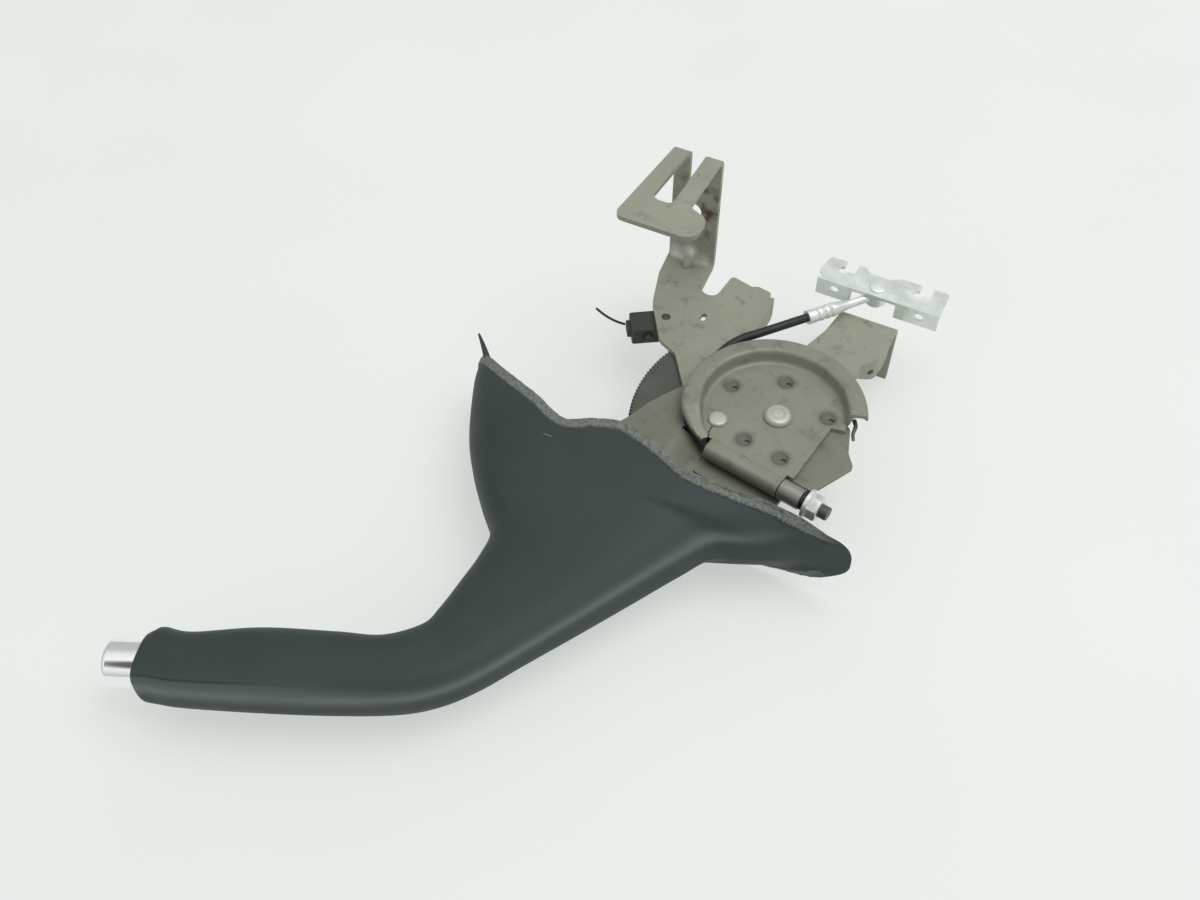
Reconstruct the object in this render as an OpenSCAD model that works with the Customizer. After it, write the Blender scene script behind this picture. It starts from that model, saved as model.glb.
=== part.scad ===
// Parking brake lever lying on its side: X runs to the rear of the car, Y down to its floor,
// and Z along the lever's pivot. The origin is the front mounting hole, on the floor face.
// Every module is drawn about the pivot and is then set out from that hole.

/* [Mounting] */
// Height of the pivot above the floor face
pivot_height = 84; // [80:0.5:90]
// Front hole ahead of the pivot
front_hole_ahead = 79.5; // [78:0.5:81]
// Front hole above the lever's middle plane
front_hole_side = 42; // [38:0.5:44]
// Rear hole behind the pivot
rear_hole_behind = 15.5; // [14:0.5:18]
// Rear hole below the lever's middle plane
rear_hole_side = 9; // [7:0.5:12]
// Diameter of the mounting holes
mount_hole_d = 9; // [7:0.5:10]

/* [Bracket] */
// Thickness of the bracket's sheet
bracket_t = 2.5; // [2:0.1:3]
// Inside radius of the bracket's bends
bend_r = 2.5; // [1.5:0.25:3]
// Width of the front foot
foot_w = 24; // [22:0.5:26]
// Height of the front foot's flange above the middle plane
foot_top = 77; // [70:0.5:80]
// Width of the slot between the front foot's prongs
prong_slot = 8; // [7:0.5:9]
// Depth of the slot below the flange
prong_depth = 22; // [18:0.5:24]
// Width of the rear foot
rear_foot_w = 28.5; // [28:0.5:32]
// Depth of the ear's flange
ear_drop = 10.5; // [8:0.5:12]
// Depth of the rear lip
lip_drop = 11; // [9:0.5:12]

/* [Ratchet] */
// Radius over the tips of the teeth
ratchet_r = 67; // [66:0.25:67.5]
// Thickness of the sector
ratchet_t = 3.5; // [3:0.25:4]
// Depth of a tooth
tooth_depth = 1.7; // [1.2:0.1:2]
// Number of teeth on the sector
tooth_count = 56; // [40:1:60]

/* [Lever] */
// Thickness of the lever's sheet
lever_t = 2.2; // [1.8:0.1:2.6]
// Outside diameter of the handle tube
tube_d = 22; // [20:0.5:23]
// Wall of the handle tube
tube_wall = 2; // [1.5:0.1:2.5]
// Radius of the tube's bend, at its middle
tube_bend_r = 40; // [36:1:44]
// Diameter of the pivot pin
pivot_d = 10; // [8:0.5:11]
// Diameter of the pivot's riveted head
pivot_head_d = 12.6; // [12:0.2:14]
// Diameter of the pawl's pin
pawl_pin_d = 6; // [5:0.5:7]

/* [Cable sector] */
// Thickness of the disc's sheet
sector_t = 2; // [1.6:0.1:2.4]
// Radius of the disc's floor
floor_r = 31.5; // [30:0.25:32]
// Outer radius of the raised rim
rim_r = 41.4; // [40:0.2:42]
// Height of the rim above the floor
rim_rise = 6.5; // [6:0.25:7]
// Outside diameter of the rolled tube
roll_d = 9.5; // [9:0.25:9.5]
// Diameter of the threaded rod
rod_d = 6; // [5:0.25:6]
// Diameter of the cable's sleeve
sleeve_d = 4.2; // [3.5:0.1:4.4]

/* [Grip] */
// Half thickness of the grip
grip_half = 15; // [14.5:0.25:17]
// Half thickness of the shroud at its mouth
mouth_half = 25; // [23:0.5:25]
// Wall of the shroud
shroud_wall = 3; // [2.5:0.25:3.5]
// Diameter of the release button
button_d = 20; // [18:0.25:21]
// Length of the button that stands out of the grip
button_out = 16; // [14:0.5:18]
// Diameter of the push rod
push_rod_d = 4; // [3:0.25:4]

/* [Equaliser] */
// Length of the equaliser
equaliser_l = 56; // [52:1:60]
// Thickness of the equaliser's sheet
equaliser_t = 2; // [1.6:0.1:2.2]
// Diameter of the equaliser's pin
equaliser_pin_d = 6; // [5:0.5:7]
// Width of the hooks' slots
hook_slot = 6; // [5:0.5:7]

/* [Hidden] */
$fn = 64;

// Clearances: a running fit, a gap between plates that slide, a gap between pieces that only sit
run_gap = 0.05;
slide_gap = 0.4;
seat_gap = 0.3;
rivet_gap = 0.05;

steel_paint = "#8a887c";
bare_steel = "#a9aaa8";
dark_steel = "#4c5050";
zinc = "#c3c8ca";
chrome = "#dfe3e6";
soft_black = "#3d4342";
plastic_black = "#1c1e20";

// Heights of the plates, from the middle plane of the lever
wall_in = tube_d / 2 + seat_gap;
wall_out = wall_in + lever_t;
washer_t = 0.5;
bracket_top = wall_in - washer_t - seat_gap;
bracket_low = bracket_top - bracket_t;
ratchet_low = bracket_low - ratchet_t;
floor_top = wall_out + sector_t;
rim_top = floor_top + rim_rise;

// Front foot, seen from the side
bend_out = bend_r + bracket_t;
foot_x = -front_hole_ahead;
foot_in = pivot_height - bracket_t;
foot_shift = 1;
foot_left = foot_x - foot_w / 2 + foot_shift;
foot_right = foot_left + foot_w;

// Rolled tube, rod and nut lie along X beside the disc
roll_y = -36;
roll_rise = 0.8;
roll_z = floor_top + roll_rise - roll_d / 2;
roll_wall = 1.5;
roll_start = -22.5;
roll_end = 14.5;
bush_l = 10.5;
slit = 0.5;
bush_start = roll_end + slit;
bush_end = bush_start + bush_l;
seat_l = 2.6;
nut_start = bush_end + seat_l;
nut_flange_t = 1.6;
nut_l = 6.4;
nut_af = 10;
nut_flange_d = 13.6;
rod_end = nut_start + nut_l + 4;
ledge_top = roll_z - roll_d / 2 - seat_gap;
riser_y = roll_y + roll_d / 2 + seat_gap;

// Handle: the grip's axis and the neck's axis cross at the bend
grip_angle = 23.4;
neck_angle = 69;
bend_point = [-78.5, -176.6];
grip_dir = [cos(grip_angle), sin(grip_angle)];
neck_dir = [cos(neck_angle), sin(neck_angle)];
turn = neck_angle - grip_angle;
bend_reach = tube_bend_r * tan(turn / 2);
grip_end_run = 110.5;
tube_setback = 10.5;
neck_run = 90;
grip_end = bend_point - grip_dir * grip_end_run;
tube_bore_d = tube_d - 2 * tube_wall;

// Release gear
pawl_pin_at = [-45, -60.5];
pawl_tail = 23.5;
pawl_tip_r = 3;
button_travel = 5;
button_play = 0.5;
rod_offset = -3.5;
rod_bend_r = 20;
guide_l = 8;
guide_run = 56.5;
stem_l = 14;

// Cable from the disc to the equaliser
cable_z = wall_out + 3;
cable_leave = [-27, 43.4];
cable_gap = 0.4;
pin_at = [14, 92.5];
cable_run_v = pin_at - cable_leave;
cable_dir = cable_run_v / norm(cable_run_v);
ferrule_from = 26;
eye_d = 11;
eye_h = 5;
equaliser_low = bracket_top + 1;
equaliser_top = cable_z + eye_h / 2 + seat_gap + equaliser_t;

wire_route = [[-91, 31.85, 4], [-95, 31.2, 4.5], [-99, 31.3, 5], [-103.5, 32.2, 5.5], [-107.5, 33.5, 6]];

// Shroud and grip: front and rear edge of each station, its share of the way from the grip's
// half thickness to the mouth's, how square it is, and how far it thins towards its rear edge
stations = [
  [-183.5, -208.5, -176, -232.5, -0.13, 2.2, 0], [-182, -206.5, -173.5, -233, -0.03, 2.2, 0],
  [-180, -204.5, -168.5, -231.5, 0, 2.3, 0], [-169, -201.5, -159, -228.5, 0, 2.3, 0],
  [-146, -187.5, -133, -218, 0.02, 2.3, 0], [-118, -175.5, -105, -205.5, 0, 2.3, 0],
  [-101.5, -169, -81, -193, 0, 2.3, 0], [-90, -157.5, -67.5, -182.5, 0, 2.3, 0],
  [-88, -148, -57, -169, 0.02, 2.4, 0], [-87, -132.5, -46.5, -150.5, 0.08, 2.5, 0],
  [-86.5, -118.5, -34.5, -129.5, 0.18, 2.6, 0], [-88.5, -105.5, -20.5, -105, 0.36, 2.7, 0.1],
  [-100.5, -92.5, -7.5, -83.5, 0.56, 2.7, 0.3], [-112, -79.5, 2, -71, 0.73, 2.6, 0.55],
  [-124, -62.5, 19, -64, 0.86, 2.5, 0.6], [-138, -34, 37.5, -53.5, 0.97, 2.4, 0.15],
  [-142.5, -19, 54.5, -50.5, 1, 2.3, 0]
];
rear_power = 2.5;
rim_station = 16;
dip_station = 12.5;
cavity_station = 10.5;
// How far the mouth's edge is drawn up at each share of its length
rim_dip = [[0, 0], [0.11, 9], [0.22, 15.5], [0.31, 21], [0.36, 15], [0.43, 8.5], [0.53, 10],
  [0.63, 14], [0.84, 6], [0.94, 3.5], [1, 0]];
ring_n = 40;
ring_step = 0.34;

// Outlines with rounded corners: each point is [x, y, radius]
function xy(p) = [p[0], p[1]];
function unit(v) = v / norm(v);
function arc(c, r, from, to, n) = [for (i = [0 : n]) let (a = from + (to - from) * i / n)
  c + r * [cos(a), sin(a)]];
function short_turn(a, b) = let (d = b - a) d > 180 ? d - 360 : d < -180 ? d + 360 : d;
function corner(before, at, after, n = 8) =
  len(at) < 3 || at[2] == 0 ? [xy(at)] :
  let (
    u = unit(xy(before) - xy(at)),
    v = unit(xy(after) - xy(at)),
    half = acos(u * v) / 2,
    centre = xy(at) + unit(u + v) * at[2] / sin(half),
    first = xy(at) + u * at[2] / tan(half) - centre,
    last = xy(at) + v * at[2] / tan(half) - centre,
    start = atan2(first[1], first[0])
  ) arc(centre, at[2], start, start + short_turn(start, atan2(last[1], last[0])), n);
function rounded(q) = let (n = len(q)) [for (i = [0 : n - 1]) each corner(q[(i + n - 1) % n], q[i],
  q[(i + 1) % n])];

// A round tube swept along a route
function route_dir(p, i) = unit(p[min(i + 1, len(p) - 1)] - p[max(i - 1, 0)]);
function tube_ring(p, i, r, sides) =
  let (t = route_dir(p, i), side = unit(cross(t, [0, 0, 1])), up = cross(side, t))
  [for (k = [0 : sides - 1]) p[i] + r * (cos(360 * k / sides) * side + sin(360 * k / sides) * up)];
module swept_tube(p, r, sides) {
  rings = len(p);
  pts = [for (i = [0 : rings - 1]) each tube_ring(p, i, r, sides)];
  walls = [for (i = [0 : rings - 2], k = [0 : sides - 1])
    [i * sides + k, i * sides + (k + 1) % sides, (i + 1) * sides + (k + 1) % sides, (i + 1) * sides + k]];
  near = [for (k = [sides - 1 : -1 : 0]) k];
  far = [for (k = [0 : sides - 1]) (rings - 1) * sides + k];
  polyhedron(pts, concat(walls, [near], [far]), convexity = 6);
}

// Values between listed ones
function smooth(q, s) =
  let (i = min(floor(s), len(q) - 2), f = s - i, a = q[max(i - 1, 0)], b = q[i], c = q[i + 1],
    d = q[min(i + 2, len(q) - 1)])
  0.5 * (2 * b + (c - a) * f + (2 * a - 5 * b + 4 * c - d) * f * f + (3 * b - a - 3 * c + d) * f * f * f);
function ease(t) = let (c = max(0, min(1, t))) c * c * (3 - 2 * c);
function flat_power(c, n) = sign(c) * pow(abs(c), 2 / n);

module from_pivot() translate([front_hole_ahead, -pivot_height, -front_hole_side]) children();
module plate(low, high) translate([0, 0, low]) linear_extrude(high - low) children();
module pin(at, d, low, high) translate([at[0], at[1], low]) cylinder(d = d, h = high - low);
module along_x(y, z, from, to, d) translate([from, y, z]) rotate([0, 90, 0]) cylinder(d = d, h = to - from);
module riveted_head(d, h) rotate_extrude() polygon([[0, 0], [d / 2, 0], [d / 2, h * 0.45],
  [d / 2 - h * 0.3, h * 0.85],
  [d / 2 - h, h], [0, h]]);

// The bracket's plate, seen along the pivot
ear_x = -33.2;
bracket_plate = rounded([
  [foot_left, pivot_height - bend_out], [-89, 66, 10], [-83, 45.5, 20], [-69.5, 24.5, 8], [-59, 19.5, 6],
  [-40, -8, 10], [-16, -22, 16], [16, -22, 16], [27, 6, 12], [20, 42, 8], [22, 51.5, 5], [28, 59, 6],
  [rear_hole_behind + rear_foot_w / 2, pivot_height - bend_out - 6, 3],
  [rear_hole_behind + rear_foot_w / 2, pivot_height - bend_out],
  [rear_hole_behind - rear_foot_w / 2, pivot_height - bend_out], [-1, 65, 8], [-6, 50, 8], [-16, 39, 8],
  [ear_x, 42, 3], [ear_x, 77.5, 2.5], [-41, 78.7, 3], [-43.5, 77.2, 2], [-55.2, 80, 2], [-57, 62.5, 4],
  [-65.2, 62.5, 4], [foot_right, pivot_height - bend_out]
]);
foot_profile = rounded([
  [pivot_height - bend_out, bracket_low], [pivot_height, bracket_low, bend_out],
    [pivot_height, foot_top, bend_out],
  [pivot_height - bend_out, foot_top], [pivot_height - bend_out, foot_top - bracket_t],
  [foot_in, foot_top - bracket_t, bend_r], [foot_in, bracket_top, bend_r],
    [pivot_height - bend_out, bracket_top]
]);
rest_low = -mouth_half;
rear_profile = rounded([
  [pivot_height - bend_out, bracket_top], [pivot_height, bracket_top, bend_out], [pivot_height, rest_low],
  [foot_in, rest_low], [foot_in, bracket_low, bend_r], [pivot_height - bend_out, bracket_low]
]);
prong_r = prong_slot / 2;
flange_back = 25.5;
foot_flange = rounded([
  [foot_left, pivot_height - bend_out], [-95.2, flange_back, 4], [-56.4, flange_back, 6], [-56.4, 40.5, 5],
  [foot_right, 45, 4], [foot_right, pivot_height - bend_out]
]);
slot_x = foot_x + 1;
flange_slot = rounded([
  [slot_x - prong_r, pivot_height], [-85, 43, 4], [-74.5, 43, 3], [slot_x + prong_r, pivot_height]
]);
gusset_r = 2.8;
gusset_l = 6;
gusset_in = 1;
foot_in_bend = pivot_height - bend_out - gusset_in / 2;
lip_side = rounded([
  [72, bracket_low], [72, bracket_low - lip_drop, 6], [57, bracket_low - lip_drop, 8],
    [45, bracket_low - 2.5, 1],
  [45, bracket_low]
]);
lip_hole_at = [25.2, 57, bracket_low - 5.5];
lip_hole_d = 3.4;
lip_hole_turn = -38;
switch_peg_at = [-72.9, 39.4];
switch_peg_hole = 4.6;

module across_x(from, to) translate([from, 0, 0]) rotate([90, 0, 90]) linear_extrude(to - from) children();

module bracket() color(steel_paint) from_pivot() {
  difference() {
    union() {
      plate(bracket_low, bracket_top) polygon(bracket_plate);
      across_x(foot_left, foot_right) polygon(foot_profile);
      plate(foot_top - bracket_t, foot_top) polygon(foot_flange);
      across_x(rear_hole_behind - rear_foot_w / 2,
        rear_hole_behind + rear_foot_w / 2) polygon(rear_profile);
      across_x(ear_x, ear_x + bracket_t)
        polygon([[74.5, bracket_top], [74.5, bracket_low - ear_drop + 2], [73, bracket_low - ear_drop],
          [68, bracket_low - ear_drop], [47, bracket_low], [47, bracket_top]]);
      intersection() {
        across_x(10, 40) polygon(lip_side);
        plate(bracket_low - lip_drop - 1, bracket_low) polygon(rounded([[29.3, 72], [28, 59, 6],
          [22, 51.5, 5], [20.3, 45.5],
          [20.3 - bracket_t, 46.3], [22 - bracket_t, 52.5, 5], [28 - bracket_t, 60, 6],
            [29.3 - bracket_t, 72]]));
      }
      translate([foot_x + foot_shift, foot_in_bend, bracket_top + bend_r + gusset_in / 2])
        rotate([-45, 0, 0]) rotate_extrude()
          polygon([for (a = [-90 : 15 : 90]) [gusset_r * cos(a), gusset_l * sin(a)]]);
    }
    pin([0, 0], bush_d, ratchet_low, bracket_top + 1);
    pin(switch_peg_at, switch_peg_hole, bracket_low - 1, bracket_top + 1);
    for (y = [46.3, 48.3]) pin([-56.7, y], 3, bracket_low - 1, bracket_top + 1);
    for (p = ratchet_rivet_at) pin(p, ratchet_rivet_d, bracket_low - 1, bracket_top + 1);
    plate(foot_top - bracket_t - 1, foot_top + 1) polygon(flange_slot);
    translate([slot_x - prong_r, pivot_height - bend_out - 1, foot_top - prong_depth])
      cube([prong_slot, bend_out + 2, prong_depth + 1]);
    translate(lip_hole_at) rotate([0, 90, lip_hole_turn]) cylinder(d = lip_hole_d, h = 12, center = true);
    translate([foot_x, pivot_height + 1, front_hole_side]) rotate([90, 0, 0])
      cylinder(d = mount_hole_d, h = bracket_t + 2);
    translate([rear_hole_behind, pivot_height + 1, -rear_hole_side]) rotate([90, 0, 0])
      cylinder(d = mount_hole_d, h = bracket_t + 2);
  }
}

// Ratchet: a sector whose teeth let the lever rise and stop it from falling back
bush_d = pivot_d + 4;
ratchet_from = 158;
ratchet_to = 258;
band_r = 54.5;
tooth_angle = (ratchet_to - ratchet_from) / tooth_count;
ratchet_rivet_d = 5;
ratchet_rivet_at = [[-30, 22], [-46, 6], [-26, -8]];
teeth = [for (i = [0 : tooth_count - 1], k = [0, 1])
  (ratchet_r - (k == 0 ? tooth_depth : 0)) * [cos(ratchet_from + (i + k * 0.92) * tooth_angle),
    sin(ratchet_from + (i + k * 0.92) * tooth_angle)]];
ratchet_shape = concat(
  [[-24, 30]], teeth, arc([0, 0], band_r, ratchet_to, 212, 16), arc([0, 0], 17, 235, 440, 24)
);

module ratchet_sector() color(dark_steel) from_pivot() difference() {
  plate(ratchet_low, bracket_low) polygon(ratchet_shape);
  pin([0, 0], bush_d, ratchet_low - 1, bracket_low + 1);
  for (p = ratchet_rivet_at) pin(p, ratchet_rivet_d, ratchet_low - 1, bracket_low + 1);
}

module ratchet_rivets() color(bare_steel) from_pivot() for (p = ratchet_rivet_at) {
  pin(p, ratchet_rivet_d - 2 * rivet_gap, ratchet_low, bracket_top);
  translate([p[0], p[1], ratchet_low]) mirror([0, 0, 1]) riveted_head(ratchet_rivet_d + 4, 2);
}

module pivot_bush() color("#8f7a4a") from_pivot() difference() {
  pin([0, 0], bush_d - 2 * rivet_gap, ratchet_low, bracket_top);
  pin([0, 0], pivot_d + 2 * run_gap, ratchet_low - 1, bracket_top + 1);
}

// Lamp switch under the bracket's front edge
switch_at = [-81.2, 35.2];
switch_turn = -57;
switch_l = 13;
switch_w = 15.5;
switch_lug = 5;
switch_rivet_d = 3.5;
switch_h = 9;
plunger_d = 4;
plunger_out = 2.5;
plunger_travel = 1.5;
switch_top = bracket_low - 0.05;
plunger_z = switch_top - switch_h / 2;

module at_switch() translate([switch_at[0], switch_at[1], 0]) rotate([0, 0, switch_turn]) children();

module switch_body() color(plastic_black) from_pivot() difference() {
  union() {
    at_switch() plate(switch_top - switch_h, switch_top)
      polygon(rounded([[-switch_l / 2, -switch_w / 2, 1], [switch_l / 2, -switch_w / 2, 1],
        [switch_l / 2, switch_w / 2 + switch_lug, 3], [-switch_l / 2, switch_w / 2 + switch_lug, 3]]));
    at_switch() plate(switch_top - switch_h + 2, switch_top - 2)
      polygon([[-switch_l / 2 + 3, -switch_w / 2 - 2], [switch_l / 2 - 3, -switch_w / 2 - 2],
        [switch_l / 2 - 3, 0], [-switch_l / 2 + 3, 0]]);
  }
  pin(switch_peg_at, switch_rivet_d + 2 * rivet_gap, switch_top - switch_h - 1, switch_top + 1);
  at_switch() translate([switch_l / 2 + 1, 0, plunger_z]) rotate([0, -90, 0])
    cylinder(d = plunger_d + 4 * run_gap, h = switch_l / 2 + 1);
}

module switch_rivet() color(zinc) from_pivot() {
  pin(switch_peg_at, switch_rivet_d, switch_top - switch_h, bracket_top - 0.6);
  translate([switch_peg_at[0], switch_peg_at[1], switch_top - switch_h]) mirror([0, 0, 1])
    riveted_head(switch_rivet_d + 2, 1.4);
}

module switch_wire_stub() color(plastic_black) from_pivot() swept_tube(wire_route, 0.6, 8);

module switch_plunger() color("#d8d4c4") from_pivot() at_switch()
  translate([switch_l / 2 - plunger_travel - 3, 0, plunger_z]) rotate([0, 90, 0])
    rotate_extrude() polygon([[0, 0], [plunger_d / 2, 0], [plunger_d / 2, plunger_travel + 2 + plunger_out],
      [plunger_d / 4, plunger_travel + 3 + plunger_out], [0, plunger_travel + 3 + plunger_out]]);

// Lever arm: a channel with a ledge under the rolled tube and a web behind the handle tube
right_wall = rounded([
  [8, 25, 15], [31, 9.5, 3], [35, -4, 3], [39.5, -10.5, 2], [27, riser_y, 2], [-38, riser_y, 3],
    [-38, -43, 3],
  [-24.5, -45, 2], [-25, -58, 6], [-31, -84, 10], [-40.5, -110, 3], [-66, -110, 3], [-68, -80, 15],
    [-70, -46, 12],
  [-60, -27, 10], [-55.6, -15.7, 6], [-47.5, -2, 6], [-26, 22, 12]
]);
left_wall = rounded([
  [14, 14, 13], [17, -12, 10], [-25, -62, 8], [-31, -84, 10], [-40.5, -110, 3], [-66, -110, 3],
    [-68, -80, 15],
  [-62, -46, 12], [-40, -8, 12], [-14, 14, 13]
]);
web = [[-23, -70.5], [-31, -84], [-32.5, -88], [-34.8, -87.2], [-33.2, -84.8], [-25, -71.5]];

module lever_arm() color(steel_paint) from_pivot() difference() {
  union() {
    plate(wall_in, wall_out) polygon(right_wall);
    plate(-wall_out, -wall_in) polygon(left_wall);
    plate(-wall_out, wall_out) intersection() {
      polygon(web);
      polygon(right_wall);
    }
    plate(ledge_top - lever_t, wall_out)
      polygon([[roll_start - 1, riser_y], [roll_end + 2, riser_y], [roll_end + 2, riser_y + lever_t],
        [roll_start - 1, riser_y + lever_t]]);
    plate(ledge_top - lever_t, ledge_top)
      polygon(rounded([[roll_start - 1, riser_y + lever_t], [roll_start - 1, -47, 2],
        [roll_end + 2, -47, 3],
        [roll_end + 2, riser_y + lever_t]]));
  }
  pin([0, 0], pivot_d + 2 * rivet_gap, -wall_out - 1, wall_out + 1);
  pin(pawl_pin_at, pawl_pin_d + 2 * rivet_gap, -wall_out - 1, wall_out + 1);
  pin(sector_rivet_at, sector_rivet_d, wall_in - 1, wall_out + 1);
}

// The handle tube: a straight grip, a bend and a straight neck
tube_sides = 32;
bend_centre = bend_point - grip_dir * bend_reach + tube_bend_r * [-sin(grip_angle), cos(grip_angle)];
bend_steps = 8;
function tube_route(from, to) = concat(
  [grip_end + grip_dir * from],
  [for (i = [0 : bend_steps]) let (a = grip_angle + turn * i / bend_steps)
    bend_centre + tube_bend_r * [sin(a), -cos(a)]],
  [bend_point + neck_dir * to]
);
function tube_angles() = concat([grip_angle], [for (i = [0 : bend_steps])
  grip_angle + turn * i / bend_steps], [neck_angle]);
function bore_ring(at, angle, r, n) = [for (k = [0 : n - 1])
  [at[0] - sin(angle) * r * cos(360 * k / n), at[1] + cos(angle) * r * cos(360 * k / n),
    r * sin(360 * k / n)]];
function ring_faces(rings, n) = [for (i = [0 : rings - 1], k = [0 : n - 1])
  [i * n + k, i * n + (k + 1) % n, ((i + 1) % rings) * n + (k + 1) % n, ((i + 1) % rings) * n + k]];

module handle_tube() color(bare_steel) from_pivot() {
  route = tube_route(tube_setback, neck_run);
  angles = tube_angles();
  last = len(route) - 1;
  inner_r = tube_bore_d / 2 / cos(180 / tube_sides);
  rings = concat(
    [for (i = [0 : last]) bore_ring(route[i], angles[i], tube_d / 2, tube_sides)],
    [for (i = [last : -1 : 0]) bore_ring(route[i], angles[i], inner_r, tube_sides)]
  );
  polyhedron([for (r = rings) each r], ring_faces(len(rings), tube_sides), convexity = 8);
}

module pivot_pin() color(bare_steel) from_pivot() {
  pin([0, 0], pivot_d, -wall_out, floor_top);
  translate([0, 0, floor_top]) riveted_head(pivot_head_d, 2.5);
  translate([0, 0, -wall_out]) mirror([0, 0, 1]) riveted_head(pivot_head_d, 2.5);
}

module pivot_spacer() color(dark_steel) from_pivot() difference() {
  pin([0, 0], pivot_d + 6, -wall_in, ratchet_low - slide_gap);
  pin([0, 0], pivot_d + 2 * rivet_gap, -wall_in - 1, ratchet_low);
}

module thrust_washer() color(bare_steel) from_pivot() difference() {
  pin([0, 0], pivot_d + 12, bracket_top + seat_gap, bracket_top + seat_gap + washer_t);
  pin([0, 0], pivot_d + 4 * run_gap, bracket_top, wall_in);
}

// Cable sector: a dished disc with a raised rim, and a tube rolled along its lower edge
sector_at = [-2.4, 0.6];
rim_from = 17;
rim_to = 224;
sector_rivet_at = [-23.4, -13.5];
sector_rivet_d = 5;
dimple_at = [[-25.9, 8.3], [-4.5, 21.1], [20.3, 9.3], [-8.7, -18.7], [9.6, -21.5]];
dimple_low_d = 5.5;
dimple_d = 10;
dimple_depth = 0.9;
floor_shape = concat(
  arc(sector_at, floor_r + 1, rim_from - 8, rim_to - 2, 48),
  [[-25.4, -25], [-23.6, -23.6], [roll_start, -26], [roll_start, roll_y + roll_d / 2 - 2],
    [roll_end, roll_y + roll_d / 2 - 2], [roll_end, riser_y], [17.7, riser_y], [23.5, 4.8]]
);
// The rim's lower end is cut away where the cable comes in
rim_cut = [[-48, -20.5], [-38.5, -22], [-33.5, -25.4], [-29, -27.2], [-25.3, -25.4], [-25.3, -42],
  [-48, -42]];
rim_profile = rounded([
  [floor_r - 1, floor_top - sector_t], [floor_r + 2, floor_top - sector_t, 2],
    [floor_r + 3.6, rim_top - sector_t, 2],
  [rim_r - 1.6, rim_top - sector_t, 0.6], [rim_r - 1.2, rim_top - sector_t - 1],
    [rim_r, rim_top - sector_t - 1],
  [rim_r, rim_top, 2], [floor_r + 1.6, rim_top, 2], [floor_r + 0.2, floor_top, 2], [floor_r - 1, floor_top]
]);

module cable_sector() color(steel_paint) from_pivot() difference() {
  union() {
    plate(wall_out, floor_top) polygon(floor_shape);
    difference() {
      translate([sector_at[0], sector_at[1], 0]) rotate([0, 0, rim_from])
        rotate_extrude(angle = rim_to - rim_from)
        polygon(rim_profile);
      plate(wall_out - 1, rim_top + 1) polygon(rim_cut);
    }
    along_x(roll_y, roll_z, roll_start, roll_end, roll_d);
  }
  along_x(roll_y, roll_z, roll_start - 1, roll_end + 1, roll_d - 2 * roll_wall);
  pin([0, 0], pivot_d + 2 * rivet_gap, wall_out - 1, floor_top + 1);
  pin(sector_rivet_at, sector_rivet_d, wall_out - 1, floor_top + 1);
  for (p = dimple_at) {
    translate([p[0], p[1], floor_top - dimple_depth]) cylinder(d1 = dimple_low_d, d2 = dimple_d,
      h = 2 * dimple_depth);
    pin([p[0] + 1.6, p[1]], 2.4, wall_out - 1, floor_top + 1);
  }
}

module sector_rivet() color(bare_steel) from_pivot() {
  pin(sector_rivet_at, sector_rivet_d - 2 * rivet_gap, wall_in, floor_top);
  translate([sector_rivet_at[0], sector_rivet_at[1], floor_top]) riveted_head(8.6, 1.6);
}

// Cable end: the threaded rod, its bush, the nut's seat and the adjusting nut
module threaded_rod() color(dark_steel) from_pivot() along_x(roll_y, roll_z, roll_start + 2, rod_end,
  rod_d);

module end_bush() color(bare_steel) from_pivot() difference() {
  along_x(roll_y, roll_z, bush_start, bush_end, roll_d);
  along_x(roll_y, roll_z, bush_start - 1, bush_end + 1, rod_d + 2 * rivet_gap);
}

module seat_ring() color(plastic_black) from_pivot() difference() {
  along_x(roll_y, roll_z, bush_end, nut_start, rod_d + 2.4);
  along_x(roll_y, roll_z, bush_end - 1, nut_start + 1, rod_d + 2 * rivet_gap);
}

module adjuster_nut() color(zinc) from_pivot() difference() {
  union() {
    along_x(roll_y, roll_z, nut_start, nut_start + nut_flange_t, nut_flange_d);
    translate([nut_start, roll_y, roll_z]) rotate([0, 90, 0]) intersection() {
      cylinder(d = nut_af / cos(30), h = nut_l, $fn = 6);
      cylinder(d1 = nut_af + 2 * nut_l, d2 = nut_af, h = nut_l);
    }
  }
  along_x(roll_y, roll_z, nut_start - 1, nut_start + nut_l + 1, rod_d + 2 * rivet_gap);
}

// Route of the sleeved cable: out of the rolled tube, up to the disc, round under the rim and away
wrap_r = rim_r - 4;
function on_disc(r, a, z) = [sector_at[0] + r * cos(a), sector_at[1] + r * sin(a), z];
cable_route = concat(
  [[roll_start, roll_y, roll_z], [roll_start - 4.5, roll_y + 0.8, roll_z + 1.4]],
  [[roll_start - 8.3, roll_y + 3.7, cable_z - 1.2]],
  [for (v = [[2.8, 219], [1.4, 209], [0.2, 199], [0, 188], [0, 177], [0.6, 166], [2.6, 156], [5, 147],
    [7.4, 138.6],
    [10, 128.8]]) on_disc(wrap_r + v[0], v[1], cable_z)],
  [[cable_leave[0], cable_leave[1], cable_z]]
);

module cable_wrap() color(plastic_black) from_pivot() swept_tube(cable_route, sleeve_d / 2, 10);

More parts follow.
